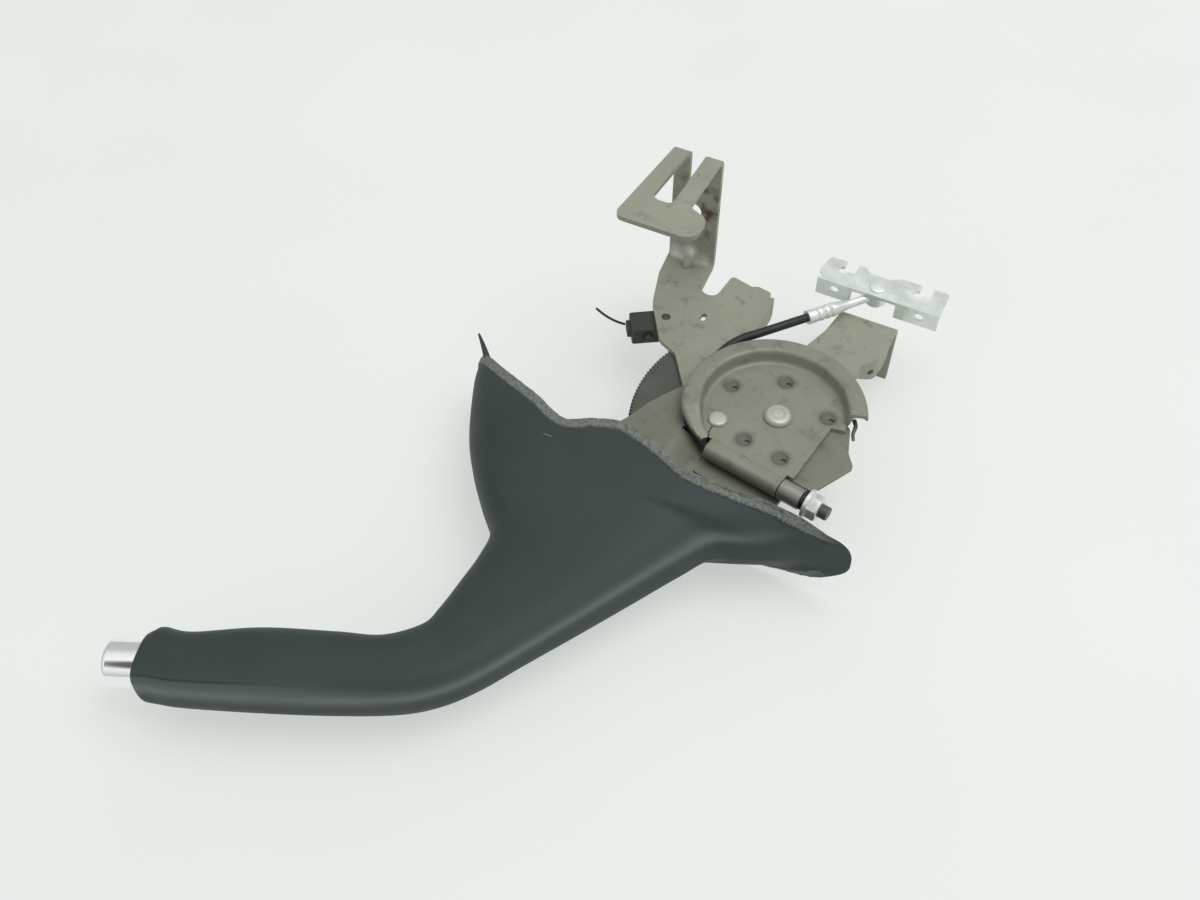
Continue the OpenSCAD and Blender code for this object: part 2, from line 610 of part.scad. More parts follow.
// Grip and shroud: one moulding, round the tube at the grip and hollow at its flared mouth
function edge_dip(q, share) = let (v = [for (p = q) p[1]],
  k = [for (i = [0 : len(q) - 2]) if (q[i][0] <= share) i],
  i = k[len(k) - 1]) smooth(v, i + (share - q[i][0]) / (q[i + 1][0] - q[i][0]));
function shell_ring(s, inset) =
  let (
    v = smooth(stations, s),
    across = [v[0] - v[2], v[1] - v[3]] / 2,
    middle = [v[0] + v[2], v[1] + v[3]] / 2,
    half = grip_half + (mouth_half - grip_half) * v[4],
    pull = ease((s - dip_station) / (rim_station - dip_station)),
    reach = 1 - inset / norm(across)
  )
  [for (k = [0 : ring_n - 1])
    let (
      a = flat_power(cos(360 * k / ring_n), v[5]),
      b = flat_power(sin(360 * k / ring_n), v[5]),
      at = middle + across * a * reach,
      thick = half * (1 - v[6] * pow(max(0, -a), rear_power)) - inset
    ) [at[0], at[1] - pull * edge_dip(rim_dip, max(0, min(1, (1 - a * reach) / 2))), b * thick]];
bore_r = (tube_d / 2 + seat_gap / 2) / cos(180 / ring_n);
bore_top_run = 54;
cover_route = tube_route(tube_setback - seat_gap, bore_top_run);
button_bore_r = button_d / 2 + button_play;
cover_angles = tube_angles();
grip_rings = concat(
  [for (s = [0 : ring_step : rim_station]) shell_ring(s, 0)],
  [shell_ring(rim_station, 0), shell_ring(rim_station, shroud_wall)],
  [for (s = [rim_station - ring_step : -ring_step : cavity_station]) shell_ring(s, shroud_wall)],
  [for (i = [len(cover_route) - 1 : -1 : 0]) bore_ring(cover_route[i], cover_angles[i], bore_r, ring_n)],
  [bore_ring(cover_route[0], grip_angle, button_bore_r, ring_n), bore_ring(grip_end, grip_angle,
    button_bore_r, ring_n)]
);

module grip_cover() color(soft_black) from_pivot()
  polyhedron([for (r = grip_rings) each r], ring_faces(len(grip_rings), ring_n), convexity = 10);

module rod_guide() color("#d8d4c4") from_pivot() {
  at = grip_end + grip_dir * guide_run;
  translate([at[0], at[1], 0]) rotate([0, 0, grip_angle]) rotate([0, 90, 0]) difference() {
    cylinder(d = tube_bore_d - 2 * rivet_gap, h = guide_l);
    translate([0, 0, -1]) cylinder(d = push_rod_d + 4 * run_gap, h = guide_l + 2);
  }
}

module pawl_pin() color(bare_steel) from_pivot() {
  pin(pawl_pin_at, pawl_pin_d, -wall_out, wall_out);
  translate([pawl_pin_at[0], pawl_pin_at[1], wall_out]) riveted_head(pawl_pin_d + 3, 1.5);
  translate([pawl_pin_at[0], pawl_pin_at[1], -wall_out]) mirror([0, 0, 1]) riveted_head(pawl_pin_d + 3,
    1.5);
}

// Button, its stem, the bent push rod and the return spring
module at_grip_end() translate([grip_end[0], grip_end[1], 0]) rotate([0, 0, grip_angle])
  rotate([0, 90, 0]) children();
button_edge = 2.5;
button_in = tube_setback - button_travel - 1;
stem_d = tube_bore_d - 4;

module button() color(chrome) from_pivot() at_grip_end() rotate_extrude() polygon(concat(
  [[0, -button_out], [button_d / 2 - button_edge, -button_out]],
  arc([button_d / 2 - button_edge, -button_out + button_edge], button_edge, -90, 0, 8),
  [[button_d / 2, button_in], [stem_d / 2, button_in], [stem_d / 2, button_in + stem_l],
    [0, button_in + stem_l]]
));

rod_turn_at = let (
    line_at = bend_point + rod_offset * [sin(neck_angle), -cos(neck_angle)],
    d = line_at - bend_point,
    k = (d[0] * neck_dir[1] - d[1] * neck_dir[0]) / (grip_dir[0] * neck_dir[1] - grip_dir[1] * neck_dir[0])
  ) bend_point + grip_dir * k;
rod_reach = rod_bend_r * tan(turn / 2);
rod_start_run = button_in + stem_l;
rod_neck_run = 104;

rod_steps = 5;
rod_centre = rod_turn_at - grip_dir * rod_reach + rod_bend_r * [-sin(grip_angle), cos(grip_angle)];
rod_route = concat(
  [grip_end + grip_dir * rod_start_run],
  [for (i = [0 : rod_steps]) let (a = grip_angle + turn * i / rod_steps)
    rod_centre + rod_bend_r * [sin(a), -cos(a)]],
  [rod_turn_at + neck_dir * rod_neck_run]
);

module push_rod() color(bare_steel) from_pivot() swept_tube([for (p = rod_route) [p[0], p[1], 0]],
  push_rod_d / 2, 12);

spring_wire = 1.2;
spring_turns = 6;
spring_sides = 14;
spring_from = rod_start_run + spring_wire;
spring_to = guide_run - spring_wire;
spring_r = push_rod_d / 2 + 2.2;

module button_spring() color(zinc) from_pivot() at_grip_end()
  swept_tube([for (i = [0 : spring_turns * spring_sides])
    [spring_r * cos(360 * i / spring_sides), spring_r * sin(360 * i / spring_sides),
      spring_from + (spring_to - spring_from) * i / (spring_turns * spring_sides)]], spring_wire / 2, 6);

// Pawl: its tooth rides just over the sector's teeth, and its tail stands beside the rod's end
pawl_gap = 0.3;
tooth_at = let (a = 214) (ratchet_r + pawl_gap) * [cos(a), sin(a)];
tail_dir = [sin(12), -cos(12)];
tail_at = pawl_pin_at + pawl_tail * tail_dir;
pawl_hub_r = pawl_pin_d / 2 + 3.5;
pawl_back = tooth_at + 7 * unit(tooth_at) + 6 * unit(pawl_pin_at - tooth_at);

module pawl() color(dark_steel) from_pivot() difference() {
  union() {
    pin(pawl_pin_at, 2 * pawl_hub_r, ratchet_low, bracket_low);
    plate(ratchet_low, bracket_low) polygon([tooth_at, pawl_back, pawl_pin_at + pawl_hub_r *
      unit(pawl_back - tooth_at) * 0.9,
      pawl_pin_at, tooth_at + 9 * unit(pawl_pin_at - tooth_at) + 2.2 * unit(tooth_at)]);
    plate(ratchet_low, bracket_low) polygon([pawl_pin_at + [-5, 0], tail_at + [-2.4, 0], tail_at + [2.4, 0],
      pawl_pin_at + [5, 0]]);
    pin(tail_at, 2 * pawl_tip_r, -push_rod_d / 2, bracket_low);
  }
  pin(pawl_pin_at, pawl_pin_d + 2 * run_gap, ratchet_low - 1, bracket_low + 1);
}

pawl_spring_r = pawl_pin_d / 2 + 1.4;
pawl_spring_turns = 3;

module pawl_spring() color(zinc) from_pivot()
  swept_tube([for (i = [0 : pawl_spring_turns * spring_sides])
    [pawl_pin_at[0] + pawl_spring_r * cos(360 * i / spring_sides),
      pawl_pin_at[1] + pawl_spring_r * sin(360 * i / spring_sides),
      ratchet_low - 1 - 5 * i / (pawl_spring_turns * spring_sides)]], spring_wire / 2, 6);

// Straight run of the cable, its ferrule and the equaliser's pin
ferrule_d = 7;
eye_neck_d = eye_h - 0.8;
pin_play = 0.1;
pin_low = cable_z - eye_h / 2 - 1.5;
module on_cable(from) translate([cable_leave[0] + cable_dir[0] * from,
  cable_leave[1] + cable_dir[1] * from, cable_z])
  rotate([0, 0, atan2(cable_dir[1], cable_dir[0])]) rotate([0, 90, 0]) children();
ferrule_l = 14;
ferrule_taper = 8;
crimps = [5, 8.5, 12];
crimp_depth = 0.5;
crimp_half = 1;
ferrule_reach = norm(cable_run_v) - ferrule_from - eye_d / 2 + 1.5;

module cable_run() color(plastic_black) from_pivot() on_cable(cable_gap)
  cylinder(d = sleeve_d, h = ferrule_from - cable_gap);

module cable_ferrule() color(zinc) from_pivot() difference() {
  union() {
    on_cable(ferrule_from) rotate_extrude() polygon(concat(
      [[0, 0], [ferrule_d / 2, 0]],
      [for (c = crimps) each [[ferrule_d / 2, c - crimp_half], [ferrule_d / 2 - crimp_depth, c],
        [ferrule_d / 2, c + crimp_half]]],
      [[ferrule_d / 2, ferrule_l], [eye_neck_d / 2, ferrule_l + ferrule_taper],
        [eye_neck_d / 2, ferrule_reach],
        [0, ferrule_reach]]
    ));
    pin(pin_at, eye_d, cable_z - eye_h / 2, cable_z + eye_h / 2);
  }
  pin(pin_at, equaliser_pin_d + 2 * run_gap, cable_z - eye_h, cable_z + eye_h);
}

module equaliser_pin() color(zinc) from_pivot() {
  pin(pin_at, equaliser_pin_d, pin_low, equaliser_top + pin_play);
  translate([pin_at[0], pin_at[1], equaliser_top + pin_play]) riveted_head(equaliser_pin_d + 1.6, 0.9);
  pin(pin_at, equaliser_pin_d + 3, pin_low, pin_low + 1.2);
}

// Equaliser: an angle with hook slots in its flat flange and a window for the cable's eye
fold_y = 86.8;
flat_w = 17;
bar_from = pin_at[0] + 4.5 - equaliser_l / 2;
bar_to = bar_from + equaliser_l;
hook_at = [bar_from + 4.5, bar_to - 13.5];
window_half = 11;

module equaliser() color(zinc) from_pivot() difference() {
  union() {
    plate(equaliser_top - equaliser_t, equaliser_top) polygon(rounded([
      [bar_from, fold_y], [bar_from - 6, fold_y + 6, 1], [bar_from - 4, fold_y + flat_w, 1.5],
      [bar_from + 14, fold_y + flat_w, 1.5], [bar_from + 17, fold_y + flat_w - 3, 2],
        [bar_from + 28, fold_y + flat_w - 3, 3],
      [bar_from + 32, fold_y + flat_w, 3], [bar_to, fold_y + flat_w, 1.5], [bar_to, fold_y]]));
    plate(equaliser_low, equaliser_top) polygon([[bar_from - 5, fold_y], [bar_to, fold_y],
      [bar_to, fold_y + equaliser_t], [bar_from - 5, fold_y + equaliser_t]]);
  }
  for (x = hook_at) {
    translate([x, fold_y + flat_w - 7, equaliser_low]) cube([hook_slot, 8, 30]);
    pin([x + hook_slot / 2 - 3, fold_y + flat_w - 6.5], 5, equaliser_low, equaliser_top + 1);
  }
  translate([pin_at[0] - window_half, fold_y - 1, equaliser_low - 1])
    cube([2 * window_half, equaliser_t + 2, equaliser_top - equaliser_t - equaliser_low + 1]);
  for (x = [bar_from + 4, bar_to - 9.5])
    translate([x, fold_y + equaliser_t + 1, (equaliser_low + equaliser_top) / 2])
    rotate([90, 0, 0]) cylinder(d = 4.4, h = equaliser_t + 2);
  pin(pin_at, equaliser_pin_d + 2 * run_gap, equaliser_low, equaliser_top + 1);
}

bracket();
ratchet_sector();
ratchet_rivets();
pivot_bush();
switch_body();
switch_rivet();
switch_wire_stub();
switch_plunger();
lever_arm();
handle_tube();
pivot_pin();
pivot_spacer();
thrust_washer();
cable_sector();
sector_rivet();
grip_cover();
rod_guide();
pawl_pin();
threaded_rod();
end_bush();
seat_ring();
adjuster_nut();
cable_wrap();
button();
push_rod();
button_spring();
pawl();
pawl_spring();
cable_run();
cable_ferrule();
equaliser_pin();
equaliser();
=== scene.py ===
import math

import bmesh
import bpy
from mathutils import Matrix, Vector, kdtree, noise


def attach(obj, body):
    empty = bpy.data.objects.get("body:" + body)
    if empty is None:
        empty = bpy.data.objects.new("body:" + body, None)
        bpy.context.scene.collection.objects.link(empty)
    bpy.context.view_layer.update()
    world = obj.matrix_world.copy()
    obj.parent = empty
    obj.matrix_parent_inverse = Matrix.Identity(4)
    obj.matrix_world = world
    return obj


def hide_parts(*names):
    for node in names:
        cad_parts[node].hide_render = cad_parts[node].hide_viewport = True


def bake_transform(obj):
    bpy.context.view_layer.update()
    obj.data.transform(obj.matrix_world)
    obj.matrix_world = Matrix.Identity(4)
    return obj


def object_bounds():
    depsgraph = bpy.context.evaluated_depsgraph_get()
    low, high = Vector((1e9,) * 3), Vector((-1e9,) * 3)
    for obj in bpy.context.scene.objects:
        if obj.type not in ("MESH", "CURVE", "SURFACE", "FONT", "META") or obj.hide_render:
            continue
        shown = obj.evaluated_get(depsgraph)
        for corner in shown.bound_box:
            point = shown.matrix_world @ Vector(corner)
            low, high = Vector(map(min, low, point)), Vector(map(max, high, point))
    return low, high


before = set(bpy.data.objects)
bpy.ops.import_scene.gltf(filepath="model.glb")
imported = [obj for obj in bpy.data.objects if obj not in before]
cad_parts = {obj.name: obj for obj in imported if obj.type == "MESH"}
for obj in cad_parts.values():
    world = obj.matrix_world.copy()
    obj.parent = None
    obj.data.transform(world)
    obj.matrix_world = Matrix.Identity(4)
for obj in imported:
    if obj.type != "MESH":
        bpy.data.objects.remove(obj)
cad_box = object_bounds()
scene = bpy.context.scene
scene.view_settings.view_transform = "Standard"

# Table, light and camera
# The lever lies on its side on a white table top, seen from above under broad, soft studio light.
# Places are given in millimetres from the lever's pivot, and the table is where the lever rests.
MM = 0.001
PIVOT = Vector((79.5, -84.0, -42.0))
TABLE_COLOUR = (0.855, 0.89, 0.86)
TABLE_LIFT = 0.6
TABLE_HALF = 3.0


def place(x, y, z=0.0):
    return (PIVOT + Vector((x, y, z))) * MM


def add_mesh(name, points, faces, smooth=True):
    mesh = bpy.data.meshes.new(name)
    mesh.from_pydata([tuple(p) for p in points], [], faces)
    mesh.validate()
    for polygon in mesh.polygons:
        polygon.use_smooth = smooth
    piece = bpy.data.objects.new(name, mesh)
    scene.collection.objects.link(piece)
    return piece


def new_material(name):
    material = bpy.data.materials.new(name)
    material.use_nodes = True
    tree = material.node_tree
    return material, tree, tree.nodes["Principled BSDF"]


def node_in(tree, kind, sockets=None, **values):
    node = tree.nodes.new(kind)
    for key, value in values.items():
        setattr(node, key, value)
    for key, value in (sockets or {}).items():
        node.inputs[key].default_value = value
    return node


def join(tree, source, target):
    tree.links.new(source, target)


table_z = cad_box[0][2]
corners = [(x * TABLE_HALF, y * TABLE_HALF, table_z) for x, y in ((-1, -1), (1, -1), (1, 1), (-1, 1))]
table = add_mesh("table_top", corners, [(0, 1, 2, 3)])
table_finish, tree, shader = new_material("white_table")
shader.inputs["Roughness"].default_value = 0.55
shader.inputs["Specular IOR Level"].default_value = 0.2
coords = node_in(tree, "ShaderNodeTexCoord")
cloud = node_in(tree, "ShaderNodeTexNoise", {"Scale": 5.0})
join(tree, coords.outputs["Object"], cloud.inputs["Vector"])
tone = node_in(tree, "ShaderNodeMapRange", {"To Min": 0.96, "To Max": 1.02})
join(tree, cloud.outputs["Fac"], tone.inputs["Value"])
tint = node_in(tree, "ShaderNodeVectorMath", {0: TABLE_COLOUR}, operation="SCALE")
join(tree, tone.outputs["Result"], tint.inputs["Scale"])
join(tree, tint.outputs["Vector"], shader.inputs["Base Color"])
glow = node_in(tree, "ShaderNodeEmission")
join(tree, tint.outputs["Vector"], glow.inputs["Color"])
path = node_in(tree, "ShaderNodeLightPath")
seen = node_in(tree, "ShaderNodeMath", operation="ADD", use_clamp=True)
join(tree, path.outputs["Is Camera Ray"], seen.inputs[0])
mirrored = node_in(tree, "ShaderNodeMath", operation="ADD")
join(tree, path.outputs["Is Glossy Ray"], mirrored.inputs[0])
join(tree, path.outputs["Is Transmission Ray"], mirrored.inputs[1])
join(tree, mirrored.outputs["Value"], seen.inputs[1])
lifted = node_in(tree, "ShaderNodeMath", {1: TABLE_LIFT}, operation="MULTIPLY")
join(tree, seen.outputs["Value"], lifted.inputs[0])
blend = node_in(tree, "ShaderNodeMixShader")
join(tree, lifted.outputs["Value"], blend.inputs["Fac"])
join(tree, shader.outputs["BSDF"], blend.inputs[1])
join(tree, glow.outputs["Emission"], blend.inputs[2])
join(tree, blend.outputs["Shader"], tree.nodes["Material Output"].inputs["Surface"])
table.data.materials.append(table_finish)

SKY_LEAN = (0.05, -0.42, 0.905)
SKY_STEPS = ((0.25, 0.5), (0.5, 0.56), (0.72, 0.8))
DIM_PATCH_AT = (0.06, -0.56, 0.826)
world = bpy.data.worlds.new("studio")
scene.world = world
world.use_nodes = True
sky = world.node_tree
background = sky.nodes["Background"]
ray = node_in(sky, "ShaderNodeTexCoord")
lean = node_in(sky, "ShaderNodeVectorMath", {1: SKY_LEAN}, operation="DOT_PRODUCT")
join(sky, ray.outputs["Generated"], lean.inputs[0])
ramp = node_in(sky, "ShaderNodeValToRGB")
ramp.color_ramp.elements[0].position = 0.0
ramp.color_ramp.elements[0].color = (0.5, 0.51, 0.5, 1)
ramp.color_ramp.elements[1].position = 1.0
ramp.color_ramp.elements[1].color = (1.0, 1.0, 1.0, 1)
for height, grey in SKY_STEPS:
    step = ramp.color_ramp.elements.new(height)
    step.color = (grey, grey * 1.01, grey, 1)
join(sky, lean.outputs["Value"], ramp.inputs["Fac"])
facing = node_in(sky, "ShaderNodeVectorMath", {1: DIM_PATCH_AT}, operation="DOT_PRODUCT")
join(sky, ray.outputs["Generated"], facing.inputs[0])
shade = node_in(sky, "ShaderNodeMapRange", {
    "From Min": 0.9, "From Max": 0.965, "To Min": 1.0, "To Max": 0.12}, interpolation_type="SMOOTHSTEP")
join(sky, facing.outputs["Value"], shade.inputs["Value"])
shaded = node_in(sky, "ShaderNodeVectorMath", operation="SCALE")
join(sky, ramp.outputs["Color"], shaded.inputs[0])
join(sky, shade.outputs["Result"], shaded.inputs["Scale"])
join(sky, shaded.outputs["Vector"], background.inputs["Color"])
background.inputs["Strength"].default_value = 1.0

LAMP_AT, LAMP_AIM = Vector((0.55, 0.15, 1.5)), Vector((0.05, -0.15, 0))
lamp = bpy.data.lights.new("ceiling_light", "AREA")
lamp.shape = "DISK"
lamp.size = 1.3
lamp.energy = 11
ceiling_light = bpy.data.objects.new("ceiling_light", lamp)
ceiling_light.location = LAMP_AT
ceiling_light.rotation_euler = (LAMP_AIM - LAMP_AT).to_track_quat("-Z", "Y").to_euler()
scene.collection.objects.link(ceiling_light)

VIEW_DIRECTION = Vector((-0.2818, 0.5627, -0.7771))
VIEW_RIGHT = Vector((0.8942, 0.4478, 0))
VIEW_UP = VIEW_RIGHT.cross(VIEW_DIRECTION)
PHOTO_FOCAL = 1286.7
PHOTO_SIZE = (1200, 900)
SENSOR = 36.0
RIVET_PIXEL = (778.6, 412.7)
RIVET_DEPTH = 0.5719
RIVET_TOP = 18.5
ray_to_rivet = (VIEW_DIRECTION + VIEW_RIGHT * ((RIVET_PIXEL[0] - PHOTO_SIZE[0] / 2) / PHOTO_FOCAL)
                - VIEW_UP * ((RIVET_PIXEL[1] - PHOTO_SIZE[1] / 2) / PHOTO_FOCAL))
lens = bpy.data.cameras.new("photo_camera")
lens.sensor_width = SENSOR
lens.lens = PHOTO_FOCAL / PHOTO_SIZE[0] * SENSOR
lens.clip_start = 0.01
camera = bpy.data.objects.new("photo_camera", lens)
turned = Matrix((VIEW_RIGHT, VIEW_UP, -VIEW_DIRECTION)).transposed().to_4x4()
camera.matrix_world = Matrix.Translation(place(0, 0, RIVET_TOP) - ray_to_rivet * RIVET_DEPTH) @ turned
scene.collection.objects.link(camera)
scene.camera = camera


# Bracket
# Pressed steel plate with folded feet, an ear and a lip, sprayed olive grey after pressing and bolted to
# the car's floor. Handling has worn the paint at its edges, and damp has stained the inside of the front
# foot with rust. Pale spots along that foot's fold are a painted highlight of the bend.
def refined(node, width, segments=2, angle=32.0, cuts=(), settle=None):
    mesh = bpy.data.meshes.new(node + "_finished")
    shape = bmesh.new()
    shape.from_mesh(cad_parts[node].data)
    bmesh.ops.remove_doubles(shape, verts=shape.verts, dist=2e-6)
    bmesh.ops.dissolve_limit(shape, angle_limit=math.radians(0.6), verts=shape.verts, edges=shape.edges)
    for point, across, inside in cuts:
        faces = [f for f in shape.faces if all(inside(v.co / MM - PIVOT) for v in f.verts)]
        edges = {e for f in faces for e in f.edges}
        verts = {v for f in faces for v in f.verts}
        bmesh.ops.bisect_plane(shape, geom=list(verts) + list(edges) + faces, dist=1e-6, plane_co=point,
                               plane_no=across)
    if settle:
        shape.normal_update()
        moved = [settle(v.co / MM - PIVOT, v.normal) for v in shape.verts]
        for v, at in zip(shape.verts, moved):
            v.co = (PIVOT + at) * MM
    shape.to_mesh(mesh)
    shape.free()
    for polygon in mesh.polygons:
        polygon.use_smooth = True
    mesh.set_sharp_from_angle(angle=math.radians(angle))
    piece = bpy.data.objects.new(node + "_finished", mesh)
    scene.collection.objects.link(piece)
    round_edges = piece.modifiers.new("rounded_edges", "BEVEL")
    round_edges.width = width * MM
    round_edges.segments = segments
    round_edges.limit_method = "ANGLE"
    round_edges.angle_limit = math.radians(angle)
    round_edges.harden_normals = True
    return piece


def fit(piece, body, slot, material, *nodes):
    piece.data.materials.clear()
    piece.data.materials.append(material)
    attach(piece, body)
    if nodes:
        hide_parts(*nodes)


def dress(node, width, body, slot, material, **shape):
    fit(refined(node, width, **shape), body, slot, material, node)


def group_socket(group, name, way, kind, value=None):
    socket = group.interface.new_socket(name=name, in_out=way, socket_type=kind)
    if value is not None:
        socket.default_value = value


def edge_wear_group():
    group = bpy.data.node_groups.new("edge_wear", "ShaderNodeTree")
    group_socket(group, "Width", "INPUT", "NodeSocketFloat", 0.0006)
    group_socket(group, "Breakup", "INPUT", "NodeSocketFloat", 900.0)
    group_socket(group, "Mask", "OUTPUT", "NodeSocketFloat")
    given = node_in(group, "NodeGroupInput")
    result = node_in(group, "NodeGroupOutput")
    rounded = node_in(group, "ShaderNodeBevel", samples=4)
    join(group, given.outputs["Width"], rounded.inputs["Radius"])
    surface = node_in(group, "ShaderNodeNewGeometry")
    facing = node_in(group, "ShaderNodeVectorMath", operation="DOT_PRODUCT")
    join(group, rounded.outputs["Normal"], facing.inputs[0])
    join(group, surface.outputs["Normal"], facing.inputs[1])
    coords = node_in(group, "ShaderNodeTexCoord")
    chips = node_in(group, "ShaderNodeTexNoise", {"Detail": 4.0})
    join(group, coords.outputs["Object"], chips.inputs["Vector"])
    join(group, given.outputs["Breakup"], chips.inputs["Scale"])
    corner = node_in(group, "ShaderNodeMapRange", {"From Min": 0.995, "From Max": 0.9})
    join(group, facing.outputs["Value"], corner.inputs["Value"])
    chipped = node_in(group, "ShaderNodeMapRange", {"From Min": 0.42, "From Max": 0.62})
    join(group, chips.outputs["Fac"], chipped.inputs["Value"])
    both = node_in(group, "ShaderNodeMath", operation="MULTIPLY")
    join(group, corner.outputs["Result"], both.inputs[0])
    join(group, chipped.outputs["Result"], both.inputs[1])
    join(group, both.outputs["Value"], result.inputs["Mask"])
    return group


GRAIN_SHARE = 0.35


def mottle_group():
    group = bpy.data.node_groups.new("mottle", "ShaderNodeTree")
    for label, value in (("Patch Scale", 45.0), ("Grain Scale", 1400.0), ("Strength", 0.2)):
        group_socket(group, label, "INPUT", "NodeSocketFloat", value)
    for label in ("Tone", "Grain", "Patch", "Smudge"):
        group_socket(group, label, "OUTPUT", "NodeSocketFloat")
    given = node_in(group, "NodeGroupInput")
    result = node_in(group, "NodeGroupOutput")
    coords = node_in(group, "ShaderNodeTexCoord")
    patch = node_in(group, "ShaderNodeTexNoise", {"Detail": 5.0, "Roughness": 0.6})
    join(group, coords.outputs["Object"], patch.inputs["Vector"])
    join(group, given.outputs["Patch Scale"], patch.inputs["Scale"])
    grain = node_in(group, "ShaderNodeTexNoise", {"Detail": 2.0})
    join(group, coords.outputs["Object"], grain.inputs["Vector"])
    join(group, given.outputs["Grain Scale"], grain.inputs["Scale"])
    mixed = node_in(group, "ShaderNodeMath", {1: GRAIN_SHARE}, operation="MULTIPLY_ADD")
    join(group, grain.outputs["Fac"], mixed.inputs[0])
    join(group, patch.outputs["Fac"], mixed.inputs[2])
    centred = node_in(group, "ShaderNodeMath", {1: (1 + GRAIN_SHARE) / 2}, operation="SUBTRACT")
    join(group, mixed.outputs["Value"], centred.inputs[0])
    tone = node_in(group, "ShaderNodeMath", {2: 1.0}, operation="MULTIPLY_ADD")
    join(group, centred.outputs["Value"], tone.inputs[0])
    join(group, given.outputs["Strength"], tone.inputs[1])
    join(group, tone.outputs["Value"], result.inputs["Tone"])
    join(group, grain.outputs["Fac"], result.inputs["Grain"])
    join(group, patch.outputs["Fac"], result.inputs["Patch"])
    smudge = node_in(group, "ShaderNodeTexNoise", {"Scale": 120.0, "Detail": 8.0, "Roughness": 0.68})
    join(group, coords.outputs["Object"], smudge.inputs["Vector"])
    dirt = node_in(group, "ShaderNodeMapRange", {"From Min": 0.55, "From Max": 0.74, "To Max": 0.7})
    join(group, smudge.outputs["Fac"], dirt.inputs["Value"])
    join(group, dirt.outputs["Result"], result.inputs["Smudge"])
    return group


EDGE_WEAR = edge_wear_group()
MOTTLE = mottle_group()


def mixed_colour(tree, mask, first, second):
    mix = node_in(tree, "ShaderNodeMix", data_type="RGBA")
    join(tree, mask, mix.inputs["Factor"])
    for value, socket in ((first, mix.inputs[6]), (second, mix.inputs[7])):
        if isinstance(value, tuple):
            socket.default_value = value
        else:
            join(tree, value, socket)
    return mix.outputs[2]


def toned(tree, colour, tone):
    scale = node_in(tree, "ShaderNodeVectorMath", operation="SCALE")
    if isinstance(colour, tuple):
        scale.inputs[0].default_value = colour[:3]
    else:
        join(tree, colour, scale.inputs[0])
    join(tree, tone, scale.inputs["Scale"])
    return scale.outputs["Vector"]


def spot_mask(tree, centre, radius, stretch=(1, 1, 1)):
    coords = node_in(tree, "ShaderNodeTexCoord")
    moved = node_in(tree, "ShaderNodeMapping", {
        "Scale": [s / radius for s in stretch],
        "Location": [-c * s / radius for c, s in zip(centre, stretch)]}, vector_type="POINT")
    join(tree, coords.outputs["Object"], moved.inputs["Vector"])
    reach = node_in(tree, "ShaderNodeVectorMath", operation="LENGTH")
    join(tree, moved.outputs["Vector"], reach.inputs[0])
    fade = node_in(tree, "ShaderNodeMapRange", {"From Min": 1.0, "From Max": 0.4},
                   interpolation_type="SMOOTHSTEP")
    join(tree, reach.outputs["Value"], fade.inputs["Value"])
    return fade.outputs["Result"]


def metal_finish(name, colour, metallic, roughness, strength=0.2, patch=45.0, grain=1400.0, bump=0.02,
                 wear=None, spread=0.15, grime=None):
    material, tree, shader = new_material(name)
    mottle = node_in(tree, "ShaderNodeGroup", {
        "Patch Scale": patch, "Grain Scale": grain, "Strength": strength}, node_tree=MOTTLE)
    base = toned(tree, colour, mottle.outputs["Tone"])
    if grime:
        base = mixed_colour(tree, mottle.outputs["Smudge"], base, grime)
    if wear:
        edges = node_in(tree, "ShaderNodeGroup", node_tree=EDGE_WEAR)
        base = mixed_colour(tree, edges.outputs["Mask"], base, wear)
    join(tree, base, shader.inputs["Base Color"])
    shader.inputs["Metallic"].default_value = metallic
    gloss = node_in(tree, "ShaderNodeMapRange", {
        "To Min": roughness - spread, "To Max": roughness + spread})
    join(tree, mottle.outputs["Patch"], gloss.inputs["Value"])
    join(tree, gloss.outputs["Result"], shader.inputs["Roughness"])
    relief = node_in(tree, "ShaderNodeBump", {"Strength": 0.4, "Distance": bump * MM})
    join(tree, mottle.outputs["Grain"], relief.inputs["Height"])
    join(tree, relief.outputs["Normal"], shader.inputs["Normal"])
    return material, tree, shader, base


PAINT = (0.32, 0.333, 0.262, 1)
PAINT_WORN = (0.4, 0.4, 0.35, 1)
RUST = (0.085, 0.042, 0.03, 1)
GRIME = (0.09, 0.092, 0.075, 1)
PAINTED_FOLD_HIGHLIGHT = (0.66, 0.67, 0.63, 1)
FOLD_HIGHLIGHT_SPOTS = ((-86.6, 83.8, 12), (-71.4, 84.2, 12), (-79, 81.5, 13))
bracket_paint, tree, shader, base = metal_finish("bracket_paint", PAINT, metallic=0.15, roughness=0.5,
                                                 strength=0.35, patch=38.0, grain=1500.0, bump=0.03,
                                                 wear=PAINT_WORN, grime=GRIME)
stain = spot_mask(tree, place(-76, 82, 46), radius=0.03, stretch=(1.6, 1.5, 1))
rough_patch = node_in(tree, "ShaderNodeTexNoise", {"Scale": 160.0, "Detail": 6.0})
coords = node_in(tree, "ShaderNodeTexCoord")
join(tree, coords.outputs["Object"], rough_patch.inputs["Vector"])
eaten = node_in(tree, "ShaderNodeMapRange", {"From Min": 0.46, "From Max": 0.66})
join(tree, rough_patch.outputs["Fac"], eaten.inputs["Value"])
rusty = node_in(tree, "ShaderNodeMath", operation="MULTIPLY")
join(tree, stain, rusty.inputs[0])
join(tree, eaten.outputs["Result"], rusty.inputs[1])
base = mixed_colour(tree, rusty.outputs["Value"], base, RUST)
